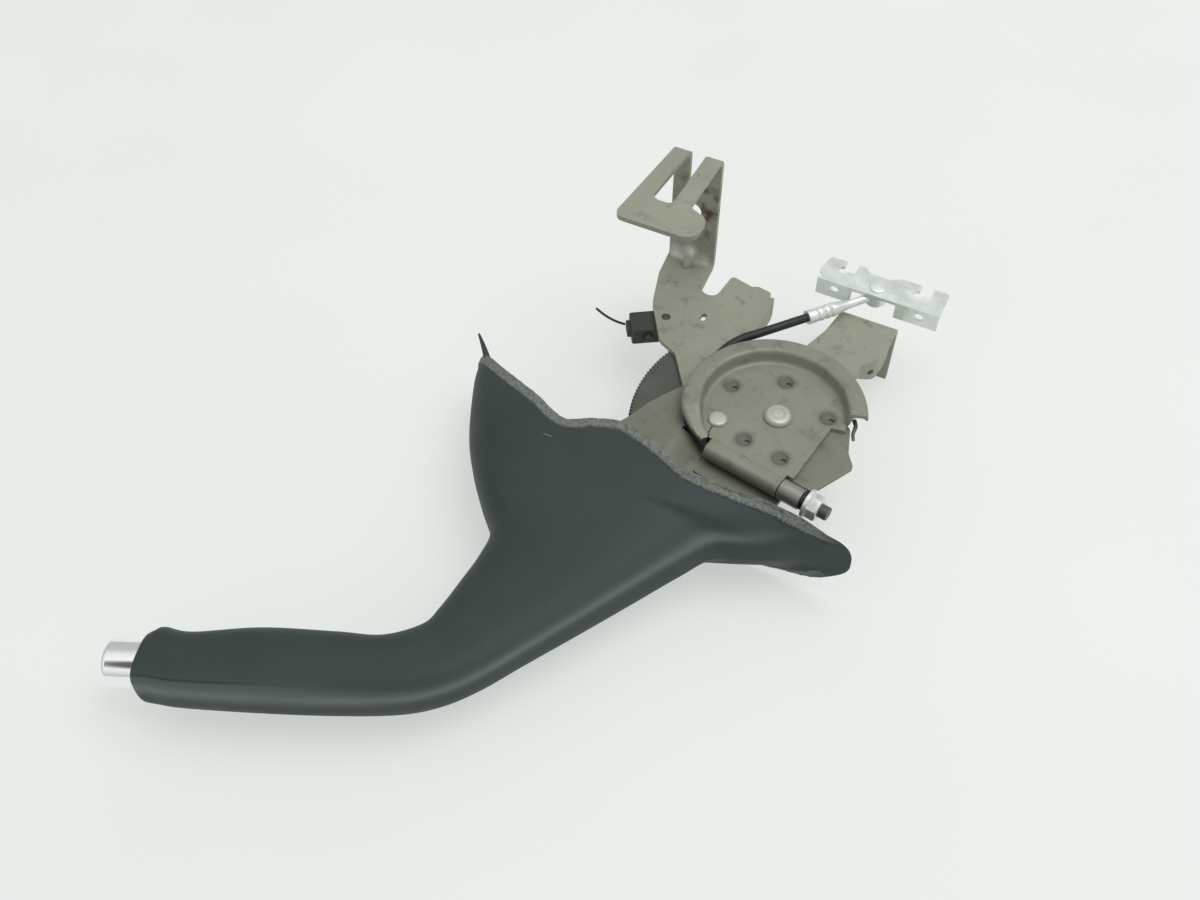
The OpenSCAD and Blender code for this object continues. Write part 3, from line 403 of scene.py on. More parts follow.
# Pale spots along the front foot's fold: painted highlight where the bend catches the light
for at in FOLD_HIGHLIGHT_SPOTS:
    fold_highlight = spot_mask(tree, place(*at), radius=0.0064, stretch=(0.95, 1.3, 0.7))
    base = mixed_colour(tree, fold_highlight, base, PAINTED_FOLD_HIGHLIGHT)
join(tree, base, shader.inputs["Base Color"])
dress("bracket", 0.5, "bracket", "olive_paint", bracket_paint)

# Ratchet sector, its rivets and the pivot's bush
# The sector is blanked from hard steel, with its teeth left dark from heat treatment. Rivets hold it
# under the plate, and a sintered bush through both carries the pivot pin.
dark_steel = metal_finish("dark_steel", (0.1, 0.118, 0.096, 1), metallic=0.4, roughness=0.5, strength=0.5,
                          patch=60.0, grain=1800.0, bump=0.04, wear=(0.2, 0.2, 0.2, 1))[0]
bare_steel = metal_finish("bare_steel", (0.4, 0.405, 0.34, 1), metallic=0.5, roughness=0.42, strength=0.3,
                          patch=120.0, grain=2600.0, bump=0.03)[0]
bush_metal = metal_finish("bush_metal", (0.4, 0.31, 0.16, 1), metallic=0.8, roughness=0.45, strength=0.3)[0]
dress("ratchet_sector", 0.15, "bracket", "dark_steel", dark_steel)
dress("ratchet_rivets", 0.2, "bracket", "bare_steel", bare_steel)
dress("pivot_bush", 0.2, "bracket", "bush_brass", bush_metal)

# Lamp switch
# A moulded black switch riveted under the plate's front edge, with a sprung plunger towards the lever.
# Its lead is a cut-off length of thin black wire.
black_plastic = metal_finish("black_plastic", (0.012, 0.013, 0.014, 1), metallic=0.0, roughness=0.5,
                             strength=0.5, patch=90.0, grain=2000.0, bump=0.05)[0]
switch_plastic = metal_finish("switch_plastic", (0.042, 0.052, 0.043, 1), metallic=0.0, roughness=0.55,
                              strength=0.6, patch=90.0, grain=2000.0, bump=0.06)[0]
dress("switch_body", 0.4, "bracket", "black_plastic", switch_plastic)
dress("switch_rivet", 0.2, "bracket", "dark_steel", dark_steel)
dress("switch_plunger", 0.2, "switch_plunger", "black_plastic", switch_plastic)


def four_at(rows, s):
    last = len(rows) - 1
    i = min(int(s), last - 1)
    return rows[max(i - 1, 0)], rows[i], rows[i + 1], rows[min(i + 2, last)], s - i


def spline(a, b, c, d, f):
    return 0.5 * (2 * b + (c - a) * f + (2 * a - 5 * b + 4 * c - d) * f * f
                  + (3 * b - a - 3 * c + d) * f * f * f)


def smooth_route(points, count):
    last = len(points) - 1
    return [spline(*four_at(points, step / count * last)) for step in range(count + 1)]


def swept(name, route, radius, sides=16):
    points, faces = [], []
    for i, p in enumerate(route):
        along = (route[min(i + 1, len(route) - 1)] - route[max(i - 1, 0)]).normalized()
        side = along.cross(Vector((0, 0, 1))).normalized()
        up = side.cross(along)
        reach = radius(i / (len(route) - 1)) if callable(radius) else radius
        for k in range(sides):
            turn = 2 * math.pi * k / sides
            points.append(p + reach * (math.cos(turn) * side + math.sin(turn) * up))
    for i in range(len(route) - 1):
        for k in range(sides):
            n = (k + 1) % sides
            faces.append((i * sides + k, i * sides + n, (i + 1) * sides + n, (i + 1) * sides + k))
    faces.append(tuple(range(sides))[::-1])
    faces.append(tuple((len(route) - 1) * sides + k for k in range(sides)))
    piece = add_mesh(name, points, faces)
    shape = bmesh.new()
    shape.from_mesh(piece.data)
    bmesh.ops.recalc_face_normals(shape, faces=shape.faces)
    shape.to_mesh(piece.data)
    shape.free()
    piece.data.set_sharp_from_angle(angle=math.radians(60))
    return piece


WIRE = ((-91, 31.85, 4), (-95, 31.2, 4.5), (-99, 31.3, 5), (-103.5, 32.2, 5.5), (-107.5, 33.5, 6))
lead = swept("switch_lead", smooth_route([place(*at) for at in WIRE], 24), 0.6 * MM, sides=12)
fit(lead, "bracket", "black_plastic", black_plastic, "switch_wire_stub")

# Lever arm, handle tube and pivot
# The arm is a pressed steel channel in the same olive paint, welded to a bent tube, and slopes down in a
# step beside the disc's rolled tube. It turns on a riveted pin, with a spacer below the sector and a thin
# washer above the plate.
ROLL_HUB = Vector((31.3, -36.0, 0.0))
ROLL_SHIFT = Vector((0.0, -0.6, 0.0))
ROLL_TURN = Matrix.Rotation(math.radians(-10), 3, "Z")
ROLL_EDGE, ROLL_LOW, ROLL_HIGH = -24.2, -47.5, -27.5
POCKET_EDGE, POCKET_LOW = -39.5, -36


def on_roll(at, facing=None):
    return ROLL_HUB + ROLL_SHIFT + ROLL_TURN @ (at - ROLL_HUB)


def settled_arm(at, facing):
    beside_roll = at.x > ROLL_EDGE and ROLL_LOW < at.y < ROLL_HIGH
    pocket_corner = at.x > POCKET_EDGE and POCKET_LOW < at.y < ROLL_HIGH
    return on_roll(at) if beside_roll or pocket_corner else at


# The arm's copy of the olive paint is given darker than the bracket's, as painted shade
shaded_lever_paint = metal_finish("shaded_lever_paint", (0.19, 0.198, 0.153, 1), metallic=0.15, roughness=0.5,
                           strength=0.35, patch=42.0, grain=1500.0, bump=0.03, wear=PAINT_WORN,
                           grime=GRIME)[0]
dress("lever_arm", 0.35, "lever", "olive_paint", shaded_lever_paint, settle=settled_arm)
STEP_LONG, STEP_WIDE = 20, 8
STEP_X, STEP_Y, STEP_TOP = -38.3, -43.2, 13.4
STEP_LENGTH, STEP_WIDTH, STEP_SHEET, STEP_FALL = 14.5, 20.3, 2.0, 7.0


def eased(t):
    t = max(0.0, min(1.0, t))
    return t * t * (3 - 2 * t)


def step_corner(i, j):
    return (i * (STEP_WIDE + 1) + j) * 2


step_points, step_faces = [], []
for i in range(STEP_LONG + 1):
    x = STEP_X + STEP_LENGTH * i / STEP_LONG
    top = STEP_TOP - STEP_FALL * eased(i / STEP_LONG)
    for j in range(STEP_WIDE + 1):
        y = STEP_Y + STEP_WIDTH * j / STEP_WIDE
        step_points += [place(x, y, top), place(x, y, top - STEP_SHEET)]
for i in range(STEP_LONG):
    for j in range(STEP_WIDE):
        a, b = step_corner(i, j), step_corner(i, j + 1)
        c, d = step_corner(i + 1, j + 1), step_corner(i + 1, j)
        step_faces += [(a, d, c, b), (a + 1, b + 1, c + 1, d + 1)]
for i in range(STEP_LONG):
    for j, way in ((0, 1), (STEP_WIDE, -1)):
        a, d = step_corner(i, j), step_corner(i + 1, j)
        step_faces.append((a, a + 1, d + 1, d)[::way])
for j in range(STEP_WIDE):
    for i, way in ((0, -1), (STEP_LONG, 1)):
        a, b = step_corner(i, j), step_corner(i, j + 1)
        step_faces.append((a, a + 1, b + 1, b)[::way])
arm_step = add_mesh("arm_step", step_points, step_faces)
arm_step.data.set_sharp_from_angle(angle=math.radians(40))
fit(arm_step, "lever", "olive_paint", shaded_lever_paint)
dress("handle_tube", 0.2, "lever", "bare_steel", bare_steel, angle=50.0)
dress("pivot_spacer", 0.3, "lever", "dark_steel", dark_steel)
dress("thrust_washer", 0.1, "lever", "bare_steel", bare_steel)
RIVET_STEEL = (0.5, 0.505, 0.43, 1)
rivet_steel, tree, shader, base = metal_finish("rivet_steel", RIVET_STEEL, metallic=0.4, roughness=0.44,
                                               strength=0.4, patch=160.0, grain=2600.0, bump=0.05)
coords = node_in(tree, "ShaderNodeTexCoord")
from_axis = node_in(tree, "ShaderNodeMapping", {"Location": -place(0, 0, 0)})
join(tree, coords.outputs["Object"], from_axis.inputs["Vector"])
rings_cut = node_in(tree, "ShaderNodeTexWave", {"Scale": 110.0, "Distortion": 1.5},
                    wave_type="RINGS", rings_direction="Z")
join(tree, from_axis.outputs["Vector"], rings_cut.inputs["Vector"])
ring_tone = node_in(tree, "ShaderNodeMapRange", {"To Min": 0.86, "To Max": 1.05})
join(tree, rings_cut.outputs["Fac"], ring_tone.inputs["Value"])
join(tree, toned(tree, base, ring_tone.outputs["Result"]), shader.inputs["Base Color"])
dress("pivot_pin", 0.25, "lever", "bare_steel", rivet_steel)
dress("pawl_pin", 0.2, "lever", "bare_steel", bare_steel)

# Cable disc
# A dished disc pressed from the same painted sheet, with a raised rim that guides the cable and a tube
# rolled along its edge. A small rivet ties it to the arm, and a tab under the rim is bent.
disc_paint, tree, shader, base = metal_finish("disc_paint", (0.246, 0.255, 0.2, 1), metallic=0.15,
                                              roughness=0.48, strength=0.35, patch=42.0, grain=1500.0,
                                              bump=0.03, wear=PAINT_WORN, grime=GRIME)
DIMPLES = ((-25.9, 8.3), (-4.5, 21.1), (20.3, 9.3), (-8.7, -18.7), (9.6, -21.5))
# Each dimple is painted darker than the floor: painted shade in its hollow
PAINTED_DIMPLE_SHADE = (0.135, 0.14, 0.11, 1)
for x, y in DIMPLES:
    dimple_shade = spot_mask(tree, place(x, y, 15), radius=0.0064, stretch=(1, 1, 0.3))
    base = mixed_colour(tree, dimple_shade, base, PAINTED_DIMPLE_SHADE)
join(tree, base, shader.inputs["Base Color"])
DISC_CENTRE = Vector((-2.4, 0.6, 0.0))
FLOOR_R, FLOOR_TOP, FLOOR_LOW = 31.5, 15.5, 13.5
RIM_FALL_FROM, RIM_END, RIM_STRETCH = 205, 224, 6
RIM_FOOT_R, RIM_NARROWING = 33, 0.55
STRAIGHT_EDGE, ROLL_FLATTENED = -30.9, 0.3
LOOSE_CORNER, SETTLED_CORNER = Vector((-22.5, -26)), (-22.4, -24.5)


def settled_disc(at, facing):
    if at.y < STRAIGHT_EDGE:
        if at.z > FLOOR_TOP:
            at.z = FLOOR_TOP + ROLL_FLATTENED * (at.z - FLOOR_TOP)
        return on_roll(at)
    if (at.xy - LOOSE_CORNER).length < 0.4:
        return Vector((*SETTLED_CORNER, at.z))
    spoke = at - DISC_CENTRE
    reach = spoke.xy.length
    turn = math.degrees(math.atan2(spoke.y, spoke.x)) % 360
    if reach > FLOOR_R - 0.2 and RIM_FALL_FROM < turn < RIM_END + 2:
        t = eased((turn - RIM_FALL_FROM) / (RIM_END - RIM_FALL_FROM))
        rest = FLOOR_TOP if facing.z > 0.05 else FLOOR_LOW
        reach -= RIM_NARROWING * t * max(0.0, reach - RIM_FOOT_R)
        turn = math.radians(turn + RIM_STRETCH * t)
        at = Vector((DISC_CENTRE.x + reach * math.cos(turn), DISC_CENTRE.y + reach * math.sin(turn),
                     at.z - t * max(0.0, at.z - rest)))
    return at


def on_rim(at):
    return (at - DISC_CENTRE).xy.length > FLOOR_R - 0.3 and at.y > STRAIGHT_EDGE


rim_cuts = [((PIVOT + DISC_CENTRE) * MM, (-math.sin(a), math.cos(a), 0), on_rim)
            for a in (math.radians(RIM_FALL_FROM + 2 * i) for i in range(10))]
dress("cable_sector", 0.3, "lever", "olive_paint", disc_paint, angle=28.0, cuts=rim_cuts,
      settle=settled_disc)
small_rivet_steel = metal_finish("small_rivet_steel", RIVET_STEEL, metallic=0.4, roughness=0.44,
                                 strength=0.4, patch=160.0, grain=2600.0, bump=0.05)[0]
dress("sector_rivet", 0.2, "lever", "bare_steel", small_rivet_steel)
BENT_TAB = ((31, 14.4, 14.2), (32.7, 11.5, 14), (33, 7.5, 13.3), (34.3, 4.6, 12.6))
bent_tab = swept("bent_tab", smooth_route([place(*at) for at in BENT_TAB], 14),
                 lambda t: (1.1 - 0.4 * t) * MM, sides=10)
fit(bent_tab, "lever", "dark_steel", dark_steel)

# Cable adjuster
# A threaded rod leaves the rolled tube through a short bush and a rubber seat, and a zinc nut with a
# flange takes up the cable's slack.
def growth(name, sockets):
    group = bpy.data.node_groups.new(name, "GeometryNodeTree")
    group_socket(group, "Geometry", "INPUT", "NodeSocketGeometry")
    for label, kind, value in sockets:
        group_socket(group, label, "INPUT", kind, value)
    group_socket(group, "Geometry", "OUTPUT", "NodeSocketGeometry")
    return group, node_in(group, "NodeGroupInput"), node_in(group, "NodeGroupOutput")


def finish_growth(group, given, result, shape):
    smooth = node_in(group, "GeometryNodeSetShadeSmooth")
    real = node_in(group, "GeometryNodeRealizeInstances")
    paint = node_in(group, "GeometryNodeSetMaterial")
    join(group, shape, smooth.inputs["Geometry"])
    join(group, smooth.outputs["Geometry"], real.inputs["Geometry"])
    join(group, real.outputs["Geometry"], paint.inputs["Geometry"])
    join(group, given.outputs["Material"], paint.inputs["Material"])
    join(group, paint.outputs["Geometry"], result.inputs["Geometry"])


def coil_tree():
    group, given, result = growth("coil", (
        ("Turns", "NodeSocketFloat", 6.0), ("Radius", "NodeSocketFloat", 0.004),
        ("Height", "NodeSocketFloat", 0.03), ("Wire", "NodeSocketFloat", 0.0006),
        ("Material", "NodeSocketMaterial", None)))
    line = node_in(group, "GeometryNodeCurveSpiral", {"Resolution": 28})
    join(group, given.outputs["Turns"], line.inputs["Rotations"])
    join(group, given.outputs["Radius"], line.inputs["Start Radius"])
    join(group, given.outputs["Radius"], line.inputs["End Radius"])
    join(group, given.outputs["Height"], line.inputs["Height"])
    section = node_in(group, "GeometryNodeCurvePrimitiveCircle", {"Resolution": 10})
    join(group, given.outputs["Wire"], section.inputs["Radius"])
    sweep = node_in(group, "GeometryNodeCurveToMesh", {"Fill Caps": True})
    join(group, line.outputs["Curve"], sweep.inputs["Curve"])
    join(group, section.outputs["Curve"], sweep.inputs["Profile Curve"])
    finish_growth(group, given, result, sweep.outputs["Mesh"])
    return group


def grown(name, group, seed, values):
    host = bpy.data.objects.new(name + "_seed", seed)
    scene.collection.objects.link(host)
    nodes = host.modifiers.new("growth", "NODES")
    nodes.node_group = group
    for item in group.interface.items_tree:
        if item.in_out == "INPUT" and item.name in values:
            nodes[item.identifier] = values[item.name]
    mesh = bpy.data.meshes.new_from_object(host.evaluated_get(bpy.context.evaluated_depsgraph_get()))
    bpy.data.objects.remove(host)
    piece = bpy.data.objects.new(name, mesh)
    scene.collection.objects.link(piece)
    return piece


COIL = coil_tree()


def coil(name, start, end, radius, wire, turns, material):
    values = {"Turns": turns, "Radius": radius * MM, "Wire": wire * MM, "Height": (end - start).length,
              "Material": material}
    piece = grown(name, COIL, bpy.data.meshes.new(name), values)
    turn = Vector((0, 0, 1)).rotation_difference(end - start).to_matrix().to_4x4()
    piece.data.transform(Matrix.Translation(start) @ turn)
    return piece


zinc_plate = metal_finish("zinc_plate", (0.8, 0.855, 0.815, 1), metallic=0.5, roughness=0.34, strength=0.75,
                          patch=110.0, grain=1700.0, bump=0.03, wear=(0.8, 0.83, 0.83, 1))[0]
bush_steel = metal_finish("bush_steel", (0.3, 0.305, 0.262, 1), metallic=0.5, roughness=0.42, strength=0.4,
                          patch=120.0, grain=2600.0, bump=0.03)[0]
dress("end_bush", 0.3, "lever", "bare_steel", bush_steel, settle=on_roll)
dress("seat_ring", 0.3, "lever", "black_plastic", black_plastic, settle=on_roll)
dress("adjuster_nut", 0.3, "lever", "zinc_plate", zinc_plate, settle=on_roll)
dress("threaded_rod", 0.2, "lever", "dark_steel", dark_steel, settle=on_roll)
ROD_Y, ROD_Z = -36, 11.55
THREAD = [(PIVOT + on_roll(Vector((x, ROD_Y, ROD_Z)))) * MM for x in (34.3, 38.2)]
thread = coil("rod_thread", *THREAD, radius=3.0, wire=0.27, turns=4, material=dark_steel)
fit(thread, "lever", "dark_steel", dark_steel)

# Cable
# Steel strand in a black sleeve. It winds round the disc under the rim, then runs straight to a crimped
# zinc ferrule whose eye turns on the equaliser's pin.
CABLE_Z = 16.5
SLEEVE_R = 2.1
WRAP_R = 37.4
# How far outside the wrap's radius, at which angle and how high
WRAP_TURNS = ((-3, 228, 11.4), (-1.2, 219.5, 12.6), (0.8, 210.5, 15), (0.4, 200, CABLE_Z),
              (0, 188, CABLE_Z), (0, 177, CABLE_Z), (0.6, 166, CABLE_Z), (2.6, 156, CABLE_Z),
              (5, 147, CABLE_Z), (7.4, 138.6, CABLE_Z), (10, 128.8, CABLE_Z))
ON_DISC = [place(DISC_CENTRE.x + (WRAP_R + out) * math.cos(math.radians(a)),
                 DISC_CENTRE.y + (WRAP_R + out) * math.sin(math.radians(a)), z) for out, a, z in WRAP_TURNS]
WRAP_START = [(PIVOT + on_roll(Vector((-22.5, ROD_Y, ROD_Z)))) * MM]
WRAP_ROUTE = WRAP_START + ON_DISC + [place(-28.2, 42, CABLE_Z)]
FERRULE_START = place(-10.34, 63.36, CABLE_Z)
wrap = swept("cable_round_disc", smooth_route(WRAP_ROUTE, 80), SLEEVE_R * MM)
wrap.data.materials.append(black_plastic)
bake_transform(wrap)
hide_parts("cable_wrap")
run = swept("cable_straight", smooth_route([WRAP_ROUTE[-1], FERRULE_START], 20), SLEEVE_R * MM)
run.data.materials.append(black_plastic)
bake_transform(run)
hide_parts("cable_run")
dress("cable_ferrule", 0.3, "cable_end", "zinc_plate", zinc_plate)
dress("equaliser_pin", 0.2, "cable_end", "zinc_plate", zinc_plate)

# Equaliser
# A folded angle in bright zinc plate. Hooks on its flat flange hold the two rear cables, and it swings on
# the pin so that both pull alike.
dress("equaliser", 0.3, "equaliser", "zinc_plate", zinc_plate)

# Release gear
# Inside the handle a rod from the button swings the pawl off the sector's teeth, and coil springs bring
# both back. A moulded ring guides the rod.
dress("push_rod", 0.2, "button", "bare_steel", bare_steel, angle=60.0)
GRIP_ANGLE = math.radians(23.4)
grip_dir = Vector((math.cos(GRIP_ANGLE), math.sin(GRIP_ANGLE), 0))
BEND_AT = Vector((-78.5, -176.6, 0))
GRIP_LENGTH = 110.5
GRIP_END = BEND_AT - grip_dir * GRIP_LENGTH
SPRING_ENDS = [(PIVOT + GRIP_END + grip_dir * along) * MM for along in (55.3, 19.7)]
button_coil = coil("button_coil", *SPRING_ENDS, radius=4.2, wire=0.6, turns=6, material=zinc_plate)
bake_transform(button_coil)
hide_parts("button_spring")
pale_plastic = metal_finish("pale_plastic", (0.62, 0.59, 0.5, 1), metallic=0.0, roughness=0.45,
                            strength=0.15)[0]
dress("rod_guide", 0.2, "lever", "natural_plastic", pale_plastic)
dress("pawl", 0.25, "pawl", "dark_steel", dark_steel)
pawl_coil = coil("pawl_coil", place(-45, -60.5, -1.5), place(-45, -60.5, 3.5), radius=4.4, wire=0.6,
                 turns=3, material=zinc_plate)
fit(pawl_coil, "pawl", "zinc_plate", zinc_plate, "pawl_spring")

# Button
# A plastic cap plated in bright chrome, with a turned edge, that slides in the end of the grip.
chrome = metal_finish("chrome", (0.95, 0.96, 0.965, 1), metallic=1.0, roughness=0.08, strength=0.05,
                      patch=60.0, grain=900.0, bump=0.002, spread=0.03)[0]
dress("button", 0.3, "button", "chrome_cap", chrome)

# Grip and shroud
# One soft moulding in dark grey plastic with a fine leather grain. It is pushed on the tube and flares
# into a hollow shroud over the arm, whose cut mouth has a raised, frayed hem and, at its front tip, a
# torn strip. A lighter band below the grip's crease is painted light on its lower side.

# Front and rear edge of each station, its share of the way from the grip's half thickness to the
# mouth's, how square it is, and how far it thins towards its rear edge
STATIONS = [(-183.5, -208.5, -176, -232.5, -0.13, 2.2, 0), (-182, -206.5, -173.5, -233, -0.03, 2.2, 0),
            (-180, -204.5, -168.5, -231.5, 0, 2.3, 0), (-169, -201.5, -159, -228.5, 0, 2.3, 0),
            (-146, -187.5, -133, -218, 0.02, 2.3, 0), (-118, -175.5, -105, -205.5, 0, 2.3, 0),
            (-101.5, -169, -81, -193, 0, 2.3, 0), (-90, -157.5, -67.5, -182.5, 0, 2.3, 0),
            (-88, -148, -57, -169, 0.02, 2.4, 0), (-87, -132.5, -46.5, -150.5, 0.08, 2.5, 0),
            (-86.5, -118.5, -34.5, -129.5, 0.18, 2.6, 0), (-88.5, -105.5, -20.5, -105, 0.36, 2.7, 0.1),
            (-100.5, -92.5, -7.5, -83.5, 0.56, 2.7, 0.3), (-112, -79.5, 2, -71, 0.73, 2.6, 0.55),
            (-124, -62.5, 19, -64, 0.86, 2.5, 0.6), (-138, -34, 37.5, -53.5, 0.97, 2.4, 0.15),
            (-142.5, -19, 54.5, -50.5, 1, 2.3, 0)]
# How far the mouth's edge is drawn up at each share of its length
MOUTH_DIP = [(0, 0), (0.11, 9), (0.22, 15.5), (0.31, 21), (0.36, 15), (0.43, 8.5), (0.53, 10), (0.63, 14),
             (0.84, 6), (0.94, 3.5), (1, 0)]
MOUTH, DIP_FROM = 16, 12.5
AROUND = 256
GRIP_HALF, MOUTH_HALF, WALL = 15.0, 25.0, 3.0
REAR_POWER = 2.5
GROOVE_WIDTH, GROOVE_DEPTH = 0.6, 0.8
SWELL_AT, SWELL_WIDTH, SWELL_RISE = 2.6, 2.3, 0.5
SIDE_LIGHT_AT = 4.6
HEM_WIDTH, HEM_RISE, HEM_EDGE, HEM_WANDER = 4.4, 0.6, 0.7, 0.5
HEM_END, HEM_FADE = 37, 12


def between(rows, s):
    *four, f = four_at(rows, s)
    return [spline(*column, f) for column in zip(*four)]


def mouth_dip(share):
    i = max(k for k in range(len(MOUTH_DIP) - 1) if MOUTH_DIP[k][0] <= share)
    f = (share - MOUTH_DIP[i][0]) / (MOUTH_DIP[i + 1][0] - MOUTH_DIP[i][0])
    return between([(rise,) for _, rise in MOUTH_DIP], i + f)[0]


def shell_ring(s, inset, dressed):
    front_x, front_y, rear_x, rear_y, flare, square, thin = between(STATIONS, s)
    across = Vector((front_x - rear_x, front_y - rear_y, 0)) / 2
    middle = Vector((front_x + rear_x, front_y + rear_y, 0)) / 2
    half = GRIP_HALF + (MOUTH_HALF - GRIP_HALF) * flare
    reach = across.length - inset
    pull = eased((s - DIP_FROM) / (MOUTH - DIP_FROM))
    corner = 1.6 - 0.8 * eased((s - 9) / 6)
    groove = (1 - eased((s - 3.4) / 1.8)) * eased(s / 0.6)
    swell = (1 - eased((s - 10) / 4)) * eased(s / 0.6)
    side_light_fade = (1 - eased((s - 13) / 2.5)) * eased(s / 0.6)
    band_width = 4.2 - 1.7 * eased((s - 4) / 3)
    ring, painted_side_light = [], []
    for k in range(AROUND):
        turn = 2 * math.pi * k / AROUND
        a = math.copysign(abs(math.cos(turn)) ** (2 / square), math.cos(turn))
        b = math.copysign(abs(math.sin(turn)) ** (2 / square), math.sin(turn))
        out = lit_share = top = 0.0
        if dressed and b > 0:
            top = 0.7 * eased(b / 0.3)
        if dressed and a < 0 < b:
            sharp = square + corner
            scale = (abs(a) ** sharp + b ** sharp) ** (-1 / sharp)
            a, b = a * scale, b * scale
            past = (math.atan2(-a, b) - math.pi / 4) * half
            out = (swell * SWELL_RISE * math.exp(-((past - SWELL_AT) / SWELL_WIDTH) ** 2)
                   - groove * GROOVE_DEPTH * math.exp(-(past / GROOVE_WIDTH) ** 2))
            # Share of the band below the crease that is coloured lighter: painted light on the grip's lower
            # side
            lit_share = side_light_fade * math.exp(-((past - SIDE_LIGHT_AT) / band_width) ** 2)
        depth = half * (1 - thin * (1 - top) * max(0.0, -a) ** REAR_POWER) - inset
        at = middle + across.normalized() * (a * (reach + out))
        at.y -= pull * mouth_dip(max(0.0, min(1.0, (1 - a * reach / across.length) / 2)))
        at.z = b * (depth + out)
        ring.append(PIVOT + at)
        painted_side_light.append(lit_share)
    return ring, painted_side_light


outer_steps = ([i * 0.1 for i in range(120)] + [12 + i * 0.05 for i in range(68)]
               + [15.4 + i * 0.02 for i in range(31)])
outer, painted_side_lights = zip(*[shell_ring(s, 0, True) for s in outer_steps])
mouth_line = kdtree.KDTree(AROUND * 4)
for k, p in enumerate(outer[-1]):
    for j in range(4):
        mouth_line.insert(p.lerp(outer[-1][(k + 1) % AROUND], j / 4), k * 4 + j)
mouth_line.balance()


def hem_share(p):
    inward = mouth_line.find(p)[2] - HEM_WIDTH - HEM_WANDER * noise.noise(p * 0.35)
    return (1 - eased(inward / HEM_EDGE + 0.5)) * (1 - eased((p.x - PIVOT.x - HEM_END) / HEM_FADE))


hem = [[hem_share(p) if s > DIP_FROM else 0.0 for p in ring] for s, ring in zip(outer_steps, outer)]
rings = []
for i, ring in enumerate(outer):
    below, above = outer[max(i - 1, 0)], outer[min(i + 1, len(outer) - 1)]
    raised = []
    for k, p in enumerate(ring):
        facing = (above[k] - below[k]).cross(ring[(k + 1) % AROUND] - ring[k - 1]).normalized()
        frayed = 0.35 * noise.noise(p * 1.1) + 0.2 * noise.noise(p * 2.7)
        lift = p - facing * hem[i][k] * (HEM_RISE + frayed)
        lift.z = max(lift.z, PIVOT.z - MOUTH_HALF)
        raised.append(lift)
    rings.append(raised)
LIP_ROUND = 0.7
lip_in = shell_ring(MOUTH, WALL, False)[0]
for t in (0.2, 0.5, 0.8):
    rings.append([p.lerp(q, t) + (p - r).normalized() * LIP_ROUND * math.sin(math.pi * t)
                  for p, q, r in zip(rings[len(outer) - 1], lip_in, rings[len(outer) - 4])])
rings += [shell_ring(MOUTH - i * 0.1, WALL, False)[0] for i in range(56)]
NECK_ANGLE, NECK_REACH = math.radians(69), 54
BEND_R, BEND_STEPS = 40.0, 8
BORE_R, CAP_R, CAP_DEEP = 11.15, 10.5, 10.2
neck_dir = Vector((math.cos(NECK_ANGLE), math.sin(NECK_ANGLE), 0))
bend_reach = BEND_R * math.tan((NECK_ANGLE - GRIP_ANGLE) / 2)
bend_centre = BEND_AT - grip_dir * bend_reach + BEND_R * Vector((-grip_dir.y, grip_dir.x, 0))


def bore_ring(at, angle, radius):
    return [PIVOT + at + radius * Vector((-math.sin(angle) * math.cos(t), math.cos(angle) * math.cos(t),
                                          math.sin(t)))
            for t in (2 * math.pi * k / AROUND for k in range(AROUND))]


rings.append(bore_ring(BEND_AT + neck_dir * NECK_REACH, NECK_ANGLE, BORE_R))
for step in range(BEND_STEPS, -1, -1):
    angle = GRIP_ANGLE + (NECK_ANGLE - GRIP_ANGLE) * step / BEND_STEPS
    at = bend_centre + BEND_R * Vector((math.sin(angle), -math.cos(angle), 0))
    rings.append(bore_ring(at, angle, BORE_R))
rings.append(bore_ring(GRIP_END + grip_dir * CAP_DEEP, GRIP_ANGLE, BORE_R))
rings.append(bore_ring(GRIP_END + grip_dir * CAP_DEEP, GRIP_ANGLE, CAP_R))
rings.append(bore_ring(GRIP_END, GRIP_ANGLE, CAP_R))
cover_points = [p * MM for ring in rings for p in ring]
cover_faces = []
for i in range(len(rings)):
    near, far = i * AROUND, (i + 1) % len(rings) * AROUND
    for k in range(AROUND):
        n = (k + 1) % AROUND
        cover_faces.append((near + k, near + n, far + n, far + k))
cover = add_mesh("grip_and_shroud", cover_points, [face[::-1] for face in cover_faces])
cover.data.set_sharp_from_angle(angle=math.radians(50))
inner_count = len(cover_points) - len(outer) * AROUND
for name, rows in (("hem", hem), ("painted_side_light", painted_side_lights)):
    band = cover.data.attributes.new(name, "FLOAT", "POINT")
    band.data.foreach_set("value", [share for row in rows for share in row] + [0.0] * inner_count)
PAINTED_SIDE_LIGHT, HEM_COLOUR = (0.12, 0.142, 0.136, 1), (0.2, 0.22, 0.19, 1)
SCRATCH_COLOUR = (0.16, 0.17, 0.15, 1)
grip_plastic, tree, shader, base = metal_finish("grip_plastic", (0.033, 0.05, 0.046, 1), metallic=0.0,
                                                roughness=0.54, strength=0.5, patch=30.0, grain=1400.0,
                                                bump=0.05)
hem_value = node_in(tree, "ShaderNodeAttribute", attribute_name="hem")
frayed = node_in(tree, "ShaderNodeTexNoise", {"Scale": 700.0, "Detail": 5.0})
coords = node_in(tree, "ShaderNodeTexCoord")
join(tree, coords.outputs["Object"], frayed.inputs["Vector"])
speckled = node_in(tree, "ShaderNodeMapRange", {"From Min": 0.3, "From Max": 0.62, "To Min": 0.35})
join(tree, frayed.outputs["Fac"], speckled.inputs["Value"])
hem_mask = node_in(tree, "ShaderNodeMath", operation="MULTIPLY")
join(tree, hem_value.outputs["Fac"], hem_mask.inputs[0])
join(tree, speckled.outputs["Result"], hem_mask.inputs[1])
